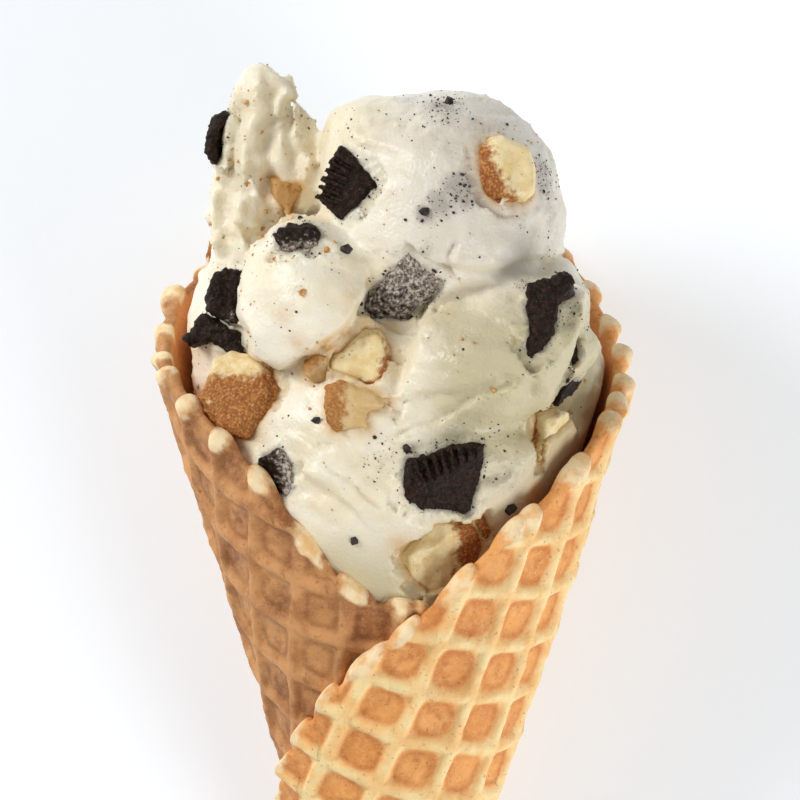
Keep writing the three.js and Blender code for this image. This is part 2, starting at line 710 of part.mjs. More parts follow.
// Short raised bars side by side on a chunk's face, fanned out a little, as round the edge of the whole
// cookie.
function withFlutes(geometry, depth, flutes) {
  let made = solidOf(geometry);
  for (let i = 0; i < flutes.count; i++) {
    const across = (i - (flutes.count - 1) / 2) * FLUTE.pitch;
    const bar = new THREE.BoxGeometry(FLUTE.width, flutes.length, 2 * FLUTE.height);
    bar.rotateZ(-FLUTE.fan * across);
    bar.translate(across, -0.5 * FLUTE.fan * across * across, depth / 2 + 0.4 * FLUTE.height);
    bar.rotateZ(degrees(flutes.turn));
    bar.translate(...flutes.at, 0);
    made = made.add(solidOf(bar));
  }
  return geometryOf(largestBody(made));
}

// Each piece that shows: where its middle is seen (right and above), its outline as seen, how deep it is,
// how far it is tipped back and to the side, and how far it stands out.
const SHOWN = [
  {
    name: "cookie_piece_1",
    at: [-9.2, 38.3],
    outline: [
      [-2.7, 4.6], [-3.4, 0.3], [-4.9, -2.4], [-3.4, -4.3], [-0.6, -6.1],
      [2.3, -3.8], [5.8, 0.1], [3, 3], [1.5, 4.9], [-1.3, 6.7],
    ],
    depth: 6,
    proud: 1.4,
    flutes: { at: [-1.7, 0.9], turn: 68, count: 6, length: 4.2 },
  },
  {
    name: "cookie_piece_2",
    at: [-18.2, 28.9],
    outline: [
      [-3, -2.1], [-0.7, -2.8], [1.8, -2.4], [4.1, -0.6], [3.8, 1.5],
      [2, 2.8], [0.5, 2.2], [-1.6, 2.6], [-4.4, 0.6],
    ],
    depth: 5.5,
    tip: [20, 0],
    proud: 1.3,
  },
  {
    name: "cookie_piece_3",
    at: [0.4, 19.7],
    outline: [
      [-5.4, -4.8], [-0.9, -4.8], [1.7, -4.6], [3.3, -2.1], [5.1, -1.4], [7.3, 2.2],
      [3.7, 4.5], [1.4, 6.5], [-2.9, 2.7], [-6.1, -0.8], [-7.3, -3.5],
    ],
    depth: 7,
    proud: 1.2,
  },
  {
    name: "cookie_piece_4",
    at: [26, 15.7],
    outline: [
      [-2.9, 4.6], [-3.4, -0.2], [-3, -4.3], [-3.8, -6.9], [-2.3, -8.4], [0.5, -6.2],
      [1.6, -4.3], [2.6, 1.4], [5.1, 3.2], [5.1, 5.5], [3.7, 6.6],
    ],
    depth: 7,
    tip: [0, -12],
    proud: 1.5,
  },
  {
    name: "cookie_piece_5",
    at: [-30, 18.3],
    outline: [
      [-3.2, 3.4], [-4.3, 1.1], [-4.5, -1], [-3.8, -3.3], [1, -5.5],
      [3, -4.9], [3.7, -0.8], [4.1, 4.3], [0.7, 5], [-1.6, 4.7],
    ],
    depth: 8,
    tip: [0, 14],
    proud: 2.4,
  },
  {
    name: "cookie_piece_6",
    at: [-32.4, 11.4],
    outline: [
      [-4.6, 1.2], [-6.2, -0.4], [-5, -2.3], [-1, -1.1], [1.3, -2.3], [3.9, -4.1],
      [5.9, -3.9], [5, -1.8], [4.6, 0.9], [1.3, 2.5], [-2.5, 4.3],
    ],
    depth: 6,
    proud: 2.2,
  },
  {
    name: "cookie_piece_7",
    at: [8.1, -14.1],
    outline: [
      [-7.6, 0.6], [-7.2, -2.9], [-4.4, -5.3], [0.9, -5.8], [3.6, -6.9], [4.9, -6.1], [5.2, -3.8],
      [6.1, -0.5], [6.8, 6], [4.9, 6.5], [0.9, 6], [-3.7, 4], [-6.9, 3.6],
    ],
    depth: 6.5,
    proud: 1.7,
    flutes: { at: [0.3, 2.8], turn: 10, count: 8, length: 5 },
  },
  {
    name: "cookie_piece_8",
    at: [-32.1, 46.9],
    outline: [
      [-1, 2.7], [-1.4, 0.2], [-1.9, -3], [-0.7, -4.9], [0.6, -5.5],
      [0.6, -1.7], [1, 1.2], [1.9, 2.6], [2.3, 4], [1.6, 5],
    ],
    depth: 7,
    proud: 2.2,
  },
  {
    name: "cookie_piece_9",
    at: [-22.2, -12.8],
    outline: [
      [-2.9, 2.3], [-3.8, 0.7], [-1.4, -2.3], [-0.7, -3.9],
      [2.5, -3.9], [2.8, -0.7], [2.5, 1.8], [0.5, 4.3],
    ],
    depth: 6.5,
    tip: [0, 14],
    proud: 1.6,
  },
  {
    name: "cookie_piece_10",
    at: [30.4, 4],
    outline: [
      [-1, 1.3], [-2.1, -1.5], [-3.8, -4.7], [0.4, -3.7], [2.6, -1.5],
      [2.9, 0.2], [1.9, 1.8], [0.6, 4], [0.8, 6.6], [-0.4, 6.6],
    ],
    depth: 6,
    proud: 0.4,
  },
  {
    name: "cheesecake_piece_1",
    at: [18.2, 40.6],
    outline: [
      [-2.9, 5.8], [-4.9, 3.5], [-5.1, -0.4], [-4.2, -4.1], [-2, -5.4],
      [3, -5.7], [4.9, -4.1], [5.1, -0.4], [4.2, 4], [-0.8, 6.2],
    ],
    depth: 10,
    tip: [0, 10],
    proud: 1.6,
  },
  {
    name: "cheesecake_piece_2",
    at: [-28.2, -0.5],
    outline: [
      [-4.9, 6.2], [-5.8, 2.1], [-7.2, -1.5], [-6.3, -6.1], [3.3, -8.1],
      [6.1, -2.9], [7.6, 0.8], [5.1, 6.4], [-2.1, 8.3],
    ],
    depth: 13,
    tip: [-16, 0],
    proud: 3.8,
  },
  {
    name: "cheesecake_piece_3",
    at: [-6.6, 7.4],
    outline: [
      [-6.3, -1.9], [-4.1, -3.1], [0.5, -4.9], [4.1, -4], [5.1, -1.5], [4.6, 2.1],
      [3, 5.3], [0.1, 5.3], [-1.3, 4.5], [-3.9, 1.7], [-5.4, 1.3], [-6.3, -0.3],
    ],
    depth: 10,
    tip: [10, 0],
    proud: 2,
  },
  {
    name: "cheesecake_piece_4",
    at: [-8.4, -1.4],
    outline: [
      [-4.6, 0.6], [-4.2, -2.6], [-3.1, -4.1], [3.1, -4.4], [3.3, -1],
      [6.3, 0], [6.3, 1.6], [3.1, 2.9], [-2.2, 4.3], [-4.6, 3.4],
    ],
    depth: 10,
    proud: 2,
  },
  {
    name: "cheesecake_piece_5",
    at: [26.7, -7.2],
    outline: [
      [-4.9, 0.1], [-3.9, -2.9], [-3, -5.8], [-0.5, -6.8], [2.2, -5.8],
      [5.4, -1.7], [5.2, 1.7], [3.3, 4.4], [0, 6.3], [-4, 5.8],
    ],
    depth: 11,
    tip: [0, 8],
    proud: 0.6,
  },
  {
    name: "cheesecake_piece_8",
    at: [14.2, -21.8],
    outline: [[-1, -0.7], [0.4, -3.4], [1.8, -2.8], [1.1, 0.5], [-0.5, 3.7], [-1.9, 1.6]],
    depth: 6,
    proud: -0.8,
  },
  {
    name: "cheesecake_piece_6",
    at: [7.3, -26.5],
    outline: [
      [-5.2, 3.4], [-8, 0.2], [-5.5, -4.1], [-2.3, -7.3], [2.5, -6.3], [6, -3],
      [7.6, 0.5], [6.6, 3.4], [4.1, 5.7], [0, 7.1], [-2.3, 6.9],
    ],
    depth: 11,
    proud: 0.4,
  },
  {
    name: "cheesecake_piece_7",
    at: [-20.1, 37.1],
    outline: [
      [-2.7, -1], [-1.1, -2.7], [0.2, -4.9], [1.2, -2.4],
      [2.8, -0.1], [3.9, 2.4], [-0.4, 2.4], [-3.2, 3],
    ],
    depth: 7,
    proud: 0.6,
  },
  {
    name: "cheesecake_piece_12",
    at: [-14.7, 6.4],
    outline: [
      [-2.3, 0.7], [-2.4, -1.6], [-0.7, -3.2], [1.5, -2.5], [2.2, 0.3], [2.2, 3], [-1, 2.7],
    ],
    depth: 6,
    proud: 0.4,
  },
];

// Each piece on the sides that the front view doesn't show: where someone sees it who has walked round by
// turn degrees, its width, height and depth, and how far it stands out.
const HIDDEN = [
  { name: "cookie_piece_11", at: [10, 35], turn: 160, size: [13, 10, 6], proud: 1.3 },
  { name: "cookie_piece_12", at: [-14, 40], turn: 205, size: [10, 12.5, 6.5], proud: 1.3 },
  { name: "cookie_piece_13", at: [-8, 23], turn: 126, size: [11.5, 9, 6], proud: 1.3 },
  { name: "cookie_piece_14", at: [2, 25], turn: 232, size: [9, 11, 5.5], proud: 1.3 },
  { name: "cheesecake_piece_9", at: [-4, 31], turn: 172, size: [12, 11, 10], proud: 1.8 },
  { name: "cheesecake_piece_10", at: [2, 41], turn: 138, size: [10, 11.5, 9.5], proud: 1.6 },
  { name: "cheesecake_piece_11", at: [-8, 18], turn: 252, size: [11.5, 11, 10], proud: 1.8 },
];

// A frame at a piece's seat whose Z faces out of the custard and whose Y points up the cone.
function pieceMatrix(piece, depth) {
  const { point, normal, toViewer } = seat(...piece.at, piece.turn ?? 0);
  const out = normal.clone().lerp(toViewer, FACES_VIEWER).normalize();
  const up = new THREE.Vector3(0, 0, 1).addScaledVector(out, -out.z).normalize();
  const right = new THREE.Vector3().crossVectors(up, out);
  const [back, aside] = piece.tip ?? [0, 0];
  const sunk = (piece.proud - depth / 2) / out.dot(toViewer);
  return new THREE.Matrix4()
    .makeBasis(right, up, out)
    .setPosition(point.clone().addScaledVector(toViewer, sunk))
    .multiply(new THREE.Matrix4().makeRotationX(degrees(back)))
    .multiply(new THREE.Matrix4().makeRotationY(degrees(aside)));
}

// A piece in its own frame, and the frame's place.
function pieceOf(piece) {
  const isCookie = piece.name.startsWith("cookie");
  const outline = piece.outline ?? brokenOutline(...piece.size);
  const depth = piece.depth ?? piece.size[2];
  const bare = chunk(outline, depth, isCookie ? COOKIE : CHEESECAKE);
  const geometry = piece.flutes ? withFlutes(bare, depth, piece.flutes) : bare;
  return { geometry, matrix: pieceMatrix(piece, depth), look: isCookie ? cookie : cheesecake };
}

// A piece's geometry grown by a margin on every side, in its own frame.
function grown(geometry, margin) {
  const wide = geometry.clone();
  const place = wide.getAttribute("position");
  for (let i = 0; i < place.count; i++) {
    const [x, y, z] = [place.getX(i), place.getY(i), place.getZ(i)];
    const away = Math.max(Math.hypot(x, y), margin);
    place.setXYZ(i, x * (1 + margin / away), y * (1 + margin / away), z + margin * Math.sign(z));
  }
  return wide;
}

// ---------------------------------------------------------------- crumbs on the custard

// Seen places of the larger crumbs: right, above and the viewer's walk.
function crumbSeats() {
  const shown = [
    [-9.8, 26.6, 0],
    [-14.9, -3.7, 0],
    [8.6, 52.9, 0],
    [4.4, 33.5, 0],
    [-8.2, -25.0, 0],
    [19.8, -19.2, 0],
    [1.0, -8.7, 0],
    [-17.3, 19.2, 0],
  ];
  const hidden = 7;
  for (let i = 0; i < hidden; i++)
    shown.push([random(-14, 14), random(25, 46), 70 + (220 * i) / hidden]);
  return shown;
}

function crumbs() {
  return crumbSeats().map(([right, above, turn]) => {
    const { point, normal } = seat(right, above, turn);
    const size = CRUMB * random(0.7, 1.15);
    const crumb = new THREE.IcosahedronGeometry(size, 0);
    crumb.rotateX(random(0, 3));
    crumb.rotateY(random(0, 3));
    crumb.translate(...point.addScaledVector(normal, 0.15 * size).toArray());
    return solidOf(crumb);
  });
}

// ---------------------------------------------------------------- materials

function material(name, color, roughness) {
  return new THREE.MeshStandardMaterial({ name, color, roughness, metalness: 0 });
}
const waffle = material("waffle", 0xd9a066, 0.75);
const custardCream = material("custard", 0xefe6d0, 0.35);
const cookie = material("cookie", 0x2b211d, 0.8);
const cheesecake = material("cheesecake", 0xe6c68c, 0.7);

// ---------------------------------------------------------------- assembly

function meshOf(name, solid, look) {
  const whole = geometryOf(largestBody(solid));
  const mesh = new THREE.Mesh(withoutShortEdges(whole, SHORTEST_EDGE), look);
  mesh.name = name;
  return mesh;
}

const upright = new THREE.Group();

const cone = rolledSheet().add(tipPlug()).subtract(belowTheFlat());
upright.add(meshOf("waffle_cone", cone, waffle));

const room = roomInCone(WALL_GAP);
const lobes = surfaceOf(
  (x, y, z) => custardDistance(x, -y, z),
  [-52, -50, 66],
  [52, 52, 210],
  CUSTARD_CELL,
);
const filling = new THREE.BoxGeometry(200, 200, FILL_SOLID).translate(0, 0, FILL_SOLID / 2);
let custard = solidOf(lobes).add(solidOf(filling));
for (const crumb of crumbs()) custard = custard.add(crumb);
custard = custard.intersect(room);

const sockets = [];
for (const piece of [...SHOWN, ...HIDDEN]) {
  const { geometry, matrix, look } = pieceOf(piece);
  let solid = placedSolid(geometry, matrix).intersect(room);
  for (const socket of sockets) solid = solid.subtract(socket);
  const socket = placedSolid(grown(geometry, SOCKET_GAP), matrix);
  sockets.push(socket);
  custard = custard.subtract(socket);
  upright.add(meshOf(piece.name, solid, look));
}
upright.add(meshOf("custard", custard, custardCream));

// Laid on its back: the line up the back of the cone turns level and the worn flat comes down to 0.
upright.rotation.x = HALF_ANGLE - Math.PI / 2;
upright.position.z = backLift;

const part = new THREE.Group();
part.add(upright);
part.updateMatrixWorld(true);
const reach = new THREE.Box3().setFromObject(part, true);
upright.position.x -= (reach.min.x + reach.max.x) / 2;
upright.position.y -= (reach.min.y + reach.max.y) / 2;
upright.position.z -= reach.min.z;

export default part;
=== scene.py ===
"""Looks of a frozen custard in a waffle cone that lies on its back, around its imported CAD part.

Shapes are worked out upright in millimetres, as the part's own source does: apex of the cone at the origin,
+Z up the axis, +X to the viewer's right and -Y towards the viewer. laid() then lays them down in the part's
frame, in metres.
"""

import math

import bpy
import numpy as np
from mathutils import Matrix, Vector
from mathutils.bvhtree import BVHTree


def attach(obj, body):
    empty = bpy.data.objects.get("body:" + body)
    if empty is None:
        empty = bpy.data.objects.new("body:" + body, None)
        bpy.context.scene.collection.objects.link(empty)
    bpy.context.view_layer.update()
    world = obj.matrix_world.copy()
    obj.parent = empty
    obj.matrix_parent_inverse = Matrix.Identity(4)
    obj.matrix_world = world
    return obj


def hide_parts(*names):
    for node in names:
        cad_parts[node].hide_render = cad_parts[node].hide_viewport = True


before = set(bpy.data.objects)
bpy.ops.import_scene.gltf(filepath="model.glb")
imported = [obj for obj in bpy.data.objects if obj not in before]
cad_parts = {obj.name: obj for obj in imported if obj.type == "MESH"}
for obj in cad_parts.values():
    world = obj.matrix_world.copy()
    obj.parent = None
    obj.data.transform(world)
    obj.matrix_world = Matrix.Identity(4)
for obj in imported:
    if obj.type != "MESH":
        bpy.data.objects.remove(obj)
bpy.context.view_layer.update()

MM = 0.001
TAU = 2 * math.pi

# ------------ the part's own sizes

HALF_ANGLE = math.radians(17)
SIN_HALF, COS_HALF = math.sin(HALF_ANGLE), math.cos(HALF_ANGLE)
APEX = np.array([-0.346, -99.7182, -2.8795])  # where the cone's apex lies in the part
DISC_RADIUS = 91.3
TIP_INSET = 15.3
SHEET = 2.0
RIDGE = 0.9
GRID_PITCH = 10.4
GRID_TURN = math.radians(34.5)
BACK_TURN = math.radians(191.5)
ROLL_FROM, ROLL_TO = math.radians(-240), math.radians(330)
LAYER_GAP = 0.35
TURN_STEP = SHEET + RIDGE + LAYER_GAP
ROLL_INSET = 6.9
TIP_HOLE = 28
KNOB_HALF = 2.7
KNOB_OUT = 2.3
RIM_DIPS = [
    (math.radians(-154), math.radians(22), 9.5),
    (math.radians(-78), math.radians(20), 3.6),
    (math.radians(40), math.radians(27), -6),
]
VIEW_TILT = math.radians(12)
VIEW_DISTANCE = 720
VIEW_MIDDLE = np.array([1.7, 0, 140.2])
VIEW_SCALE = 0.178  # millimetres to a pixel of the picture
PICTURE = 800  # pixels across

# Lobes of custard: middle (right, towards the viewer, up the axis), half sizes, lean, softness of the joint.
LOBES = [
    ((0, -1, 122), (37, 33, 44), 0, 3),
    ((2, -17, 156), (28, 20, 20), 0, 5),
    ((9, 0, 173.6), (21.9, 22.5, 22), 0, 3),
    ((-2.2, 0, 184.5), (10, 13, 10.2), 20, 4),
    ((-13.5, 10, 160), (13.5, 17, 15), 10, 2),
    ((17, 13, 151), (21, 18, 13), 18, 2),
    ((-2, 13, 138), (20, 17, 15), -8, 2.5),
    ((13, 11, 126), (20, 18, 18), 12, 3),
    ((-10, 12, 121), (17, 16, 26), 24, 2.5),
    ((20, 13.5, 122), (12.5, 14, 21), -30, 4),
    ((25.4, 4, 153), (8.6, 14, 15), -12, 2),
    ((30, -5, 140), (8, 14, 14), -10, 2),
    ((-23, -9, 148), (13, 20, 20), 8, 3),
    ((-24.5, -4, 170), (8.2, 6.5, 20), 0, 3),
    ((-22, -4, 185), (8.2, 5.6, 13), 5, 2),
    ((-15.5, -4, 182), (4.5, 5.6, 11), 24, 3),
    ((-22.4, -4, 193.8), (6.2, 4.4, 6.4), 30, 1.5),
]


def tipped(points, angle):
    """Points turned by angle about X."""
    x, y, z = points[..., 0], points[..., 1], points[..., 2]
    cosine, sine = math.cos(angle), math.sin(angle)
    return np.stack([x, y * cosine - z * sine, y * sine + z * cosine], -1)


def laid(points):
    """Upright millimetres to the part's frame, in metres."""
    return MM * (tipped(np.asarray(points, float), HALF_ANGLE - math.pi / 2) + APEX)


def upright(points):
    """The part's frame, in metres, to upright millimetres."""
    return tipped(np.asarray(points, float) / MM - APEX, math.pi / 2 - HALF_ANGLE)


def laid_direction(direction):
    return laid(direction) - laid((0, 0, 0))


def linked(name, data):
    """A new object in the scene."""
    made = bpy.data.objects.new(name, data)
    bpy.context.scene.collection.objects.link(made)
    return made


# ------------ the camera

TO_VIEWER = np.array([0, -math.cos(VIEW_TILT), math.sin(VIEW_TILT)])
VIEW_UP = np.array([0, math.sin(VIEW_TILT), math.cos(VIEW_TILT)])
VIEWER = VIEW_MIDDLE + VIEW_DISTANCE * TO_VIEWER


def make_camera():
    data = bpy.data.cameras.new("camera")
    data.sensor_width = 36
    data.lens = data.sensor_width * VIEW_DISTANCE / (PICTURE * VIEW_SCALE)
    data.clip_start, data.clip_end = 0.01, 20
    camera = linked("camera", data)
    axes = [laid_direction(v) / MM for v in ((1, 0, 0), VIEW_UP, TO_VIEWER)]
    matrix = Matrix([list(row) for row in np.array(axes).T]).to_4x4()
    matrix.translation = Vector(laid(VIEWER))
    camera.matrix_world = matrix
    bpy.context.scene.camera = camera


make_camera()

# ------------ numbers

seed = 20240611


def drawn(low, high):
    """The same run of random numbers as the part's source."""
    global seed
    seed = (seed * 1664525 + 1013904223) & 0xFFFFFFFF
    return low + (high - low) * seed / 4294967296


def smooth(low, high, value):
    t = np.clip((value - low) / (high - low), 0, 1)
    return t * t * (3 - 2 * t)


def lattice(i, j, k, salt):
    n = (i * 374761393 + j * 668265263 + k * 1440662683 + salt * 1274126177) & 0xFFFFFFFF
    n = ((n ^ (n >> 13)) * 1274126177) & 0xFFFFFFFF
    return ((n ^ (n >> 16)) & 0xFFFF) / 32767.5 - 1


def noise(points, size, salt=0, octaves=1):
    """Smooth noise from about -1 to 1 that varies over size, which may differ along x, y and z."""
    total = np.zeros(len(points))
    strength = 1.0
    for octave in range(octaves):
        q = points / (np.asarray(size, float) / 2**octave) + 100
        cell = np.floor(q).astype(np.int64)
        f = q - cell
        f = f * f * f * (f * (f * 6 - 15) + 10)
        for i in (0, 1):
            for j in (0, 1):
                for k in (0, 1):
                    weight = np.abs(1 - i - f[:, 0]) * np.abs(1 - j - f[:, 1]) * np.abs(1 - k - f[:, 2])
                    value = lattice(cell[:, 0] + i, cell[:, 1] + j, cell[:, 2] + k, salt + octave)
                    total += strength * weight * value
        strength /= 2
    return total


def turned(points, **degrees):
    """Points turned about the named axes in turn, for noise that is drawn out in a slanting direction."""
    for axis, angle in degrees.items():
        points = points @ np.array(Matrix.Rotation(math.radians(angle), 3, axis)).T
    return points


# ------------ meshes


def smooth_with(mesh, attributes):
    """Shades the mesh smooth and gives it values at its points."""
    mesh.polygons.foreach_set("use_smooth", np.ones(len(mesh.polygons), bool))
    for key, values in attributes.items():
        layer = mesh.attributes.new(key, "FLOAT", "POINT")
        layer.data.foreach_set("value", np.asarray(values, np.float32))


def mesh_object(name, points, faces, attributes=None):
    """A smooth mesh from upright points. faces is a list of integer arrays, each with faces of one size."""
    mesh = bpy.data.meshes.new(name)
    place = laid(points)
    place[:, 2] = np.maximum(place[:, 2], 0.0)
    mesh.vertices.add(len(place))
    mesh.vertices.foreach_set("co", place.astype(np.float32).ravel())
    loops = np.concatenate([np.asarray(group).ravel() for group in faces])
    sizes = np.concatenate([np.full(len(group), np.asarray(group).shape[1]) for group in faces])
    mesh.loops.add(len(loops))
    mesh.loops.foreach_set("vertex_index", loops.astype(np.int32))
    mesh.polygons.add(len(sizes))
    mesh.polygons.foreach_set("loop_start", (np.cumsum(sizes) - sizes).astype(np.int32))
    mesh.update(calc_edges=True)
    mesh.validate()
    smooth_with(mesh, attributes or {})
    return linked(name, mesh)


def facing_out(points, quads):
    """The faces, turned round if the closed surface faces in."""
    a, b, c, d = (points[quads[:, n]] for n in range(4))
    volume = np.einsum("ij,ij->i", a, np.cross(b, c)) + np.einsum("ij,ij->i", a, np.cross(c, d))
    return quads if volume.sum() > 0 else quads[:, ::-1]


def grid_quads(columns, rows, columns_close):
    """Faces of a grid of columns by rows, which closes on itself along its columns or else along its rows."""
    i = np.arange(columns if columns_close else columns - 1)
    j = np.arange(rows - 1 if columns_close else rows)
    i, j = (v.ravel() for v in np.meshgrid(i, j, indexing="ij"))
    after, above = (i + 1) % columns, (j + 1) % rows
    return np.stack([i * rows + j, after * rows + j, after * rows + above, i * rows + above], 1)


def surface_nets(field, origin, cell):
    """The closed surface where a grid of distances is nought."""
    inside = field < 0
    n = field.shape
    corners = [(i, j, k) for i in (0, 1) for j in (0, 1) for k in (0, 1)]
    count = sum(
        inside[i : n[0] - 1 + i, j : n[1] - 1 + j, k : n[2] - 1 + k].astype(np.int8) for i, j, k in corners
    )
    active = (count > 0) & (count < 8)
    cells = np.argwhere(active)
    number = np.full(active.shape, -1, np.int64)
    number[active] = np.arange(len(cells))
    values = [field[cells[:, 0] + i, cells[:, 1] + j, cells[:, 2] + k] for i, j, k in corners]
    total = np.zeros((len(cells), 3))
    crossings = np.zeros(len(cells))
    for a, p in enumerate(corners):
        for b, q in enumerate(corners):
            if b <= a or sum(x != y for x, y in zip(p, q)) != 1:
                continue
            crossed = (values[a] < 0) != (values[b] < 0)
            t = np.where(crossed, values[a] / np.where(crossed, values[a] - values[b], 1), 0)
            total += crossed[:, None] * (np.array(p) + t[:, None] * (np.array(q) - np.array(p)))
            crossings += crossed
    points = np.array(origin) + (cells + total / crossings[:, None]) * cell
    quads = []
    for axis in range(3):
        u, w = np.eye(3, dtype=int)[(axis + 1) % 3], np.eye(3, dtype=int)[(axis + 2) % 3]
        low = [slice(None)] * 3
        high = [slice(None)] * 3
        low[axis], high[axis] = slice(None, -1), slice(1, None)
        edges = np.argwhere(inside[tuple(low)] != inside[tuple(high)])
        fine = np.all(edges >= u + w, 1) & np.all(edges < np.array(n) - 1, 1)
        edges = edges[fine]
        ring = [edges - u - w, edges - w, edges, edges - u]
        quad = np.stack([number[tuple(cell_of.T)] for cell_of in ring], 1)
        starts_inside = inside[tuple(edges.T)]
        quads.append(np.where(starts_inside[:, None], quad, quad[:, ::-1]))
    return points, np.concatenate(quads)


# ------------ the waffle cone

COLUMNS, OUTER_ROWS, INNER_ROWS, EDGE_ROWS = 600, 184, 26, 8
EDGE_ROUND = 1.25


def rim_knobs():
    knobs = []
    middle = np.array([0, DISC_RADIUS - TIP_INSET])
    for turn in (GRID_TURN, GRID_TURN + math.pi / 2):
        across = np.array([math.cos(turn), math.sin(turn)])
        along = np.array([-across[1], across[0]])
        first = math.ceil((middle @ across - DISC_RADIUS) / GRID_PITCH)
        last = math.floor((middle @ across + DISC_RADIUS) / GRID_PITCH)
        for line in range(first, last + 1):
            for side in (-1, 1):
                away = line * GRID_PITCH - middle @ across
                end = middle + across * away + along * side * math.sqrt(DISC_RADIUS**2 - away**2)
                angle = math.atan2(-end[0], end[1]) / SIN_HALF
                half, out = KNOB_HALF * drawn(0.75, 1.3), KNOB_OUT * drawn(0.45, 1.25)
                if ROLL_FROM < angle < ROLL_TO:
                    knobs.append((angle, half, out))
    return knobs


KNOBS = rim_knobs()


def disc_slant(angle):
    turned = angle * SIN_HALF
    offset = DISC_RADIUS - TIP_INSET
    slant = offset * np.cos(turned) + np.sqrt(DISC_RADIUS**2 - (offset * np.sin(turned)) ** 2)
    slant = slant + 0.8 * np.sin(3.1 * angle + 0.6) + 0.5 * np.sin(7.3 * angle)
    for at, half, depth in RIM_DIPS:
        slant = slant - depth * np.exp(-(((angle - at) / half) ** 2))
    return slant


def rim_shape(angle):
    """Slant distance to the rim, and how much of a knob there is, from 0 to 1."""
    out = np.zeros_like(angle)
    knob_here = np.zeros_like(angle)
    for at, half, reach in KNOBS:
        along = (angle - at) * disc_slant(np.array(at)) * SIN_HALF / half
        round_off = np.sqrt(np.clip(1 - along**2, 0, 1))
        out = np.maximum(out, reach * round_off)
        knob_here = np.maximum(knob_here, np.exp(-((along / 0.85) ** 2)))
    return disc_slant(angle) + out, knob_here


def rolled(slant, angle, height):
    lift = TURN_STEP * (angle - ROLL_FROM) / TAU - ROLL_INSET + height
    radius = slant * SIN_HALF + lift * COS_HALF
    side = BACK_TURN - angle
    return np.stack([radius * np.sin(side), -radius * np.cos(side), slant * COS_HALF - lift * SIN_HALF], -1)


def flat_place(slant, angle):
    turned = angle * SIN_HALF
    flat = np.stack([-slant * np.sin(turned), slant * np.cos(turned), np.zeros_like(slant)], -1)
    return flat.reshape(-1, 3)


def ridges(flat, wander=0.28):
    """How near each flat point is to a ridge: a narrow crest and a broad foot."""
    u = flat[:, 0] * math.cos(GRID_TURN) + flat[:, 1] * math.sin(GRID_TURN)
    v = -flat[:, 0] * math.sin(GRID_TURN) + flat[:, 1] * math.cos(GRID_TURN)
    u = u + wander * noise(flat, 8, 11, 2)
    v = v + wander * noise(flat, 8, 14, 2)
    away = [np.abs(g - GRID_PITCH * np.round(g / GRID_PITCH)) for g in (u, v)]
    crest = [np.exp(-((d / 1.2) ** 4)) for d in away]
    foot = [np.exp(-((d / 2.2) ** 2)) for d in away]
    return np.maximum(*crest), 1 - (1 - foot[0]) * (1 - foot[1])


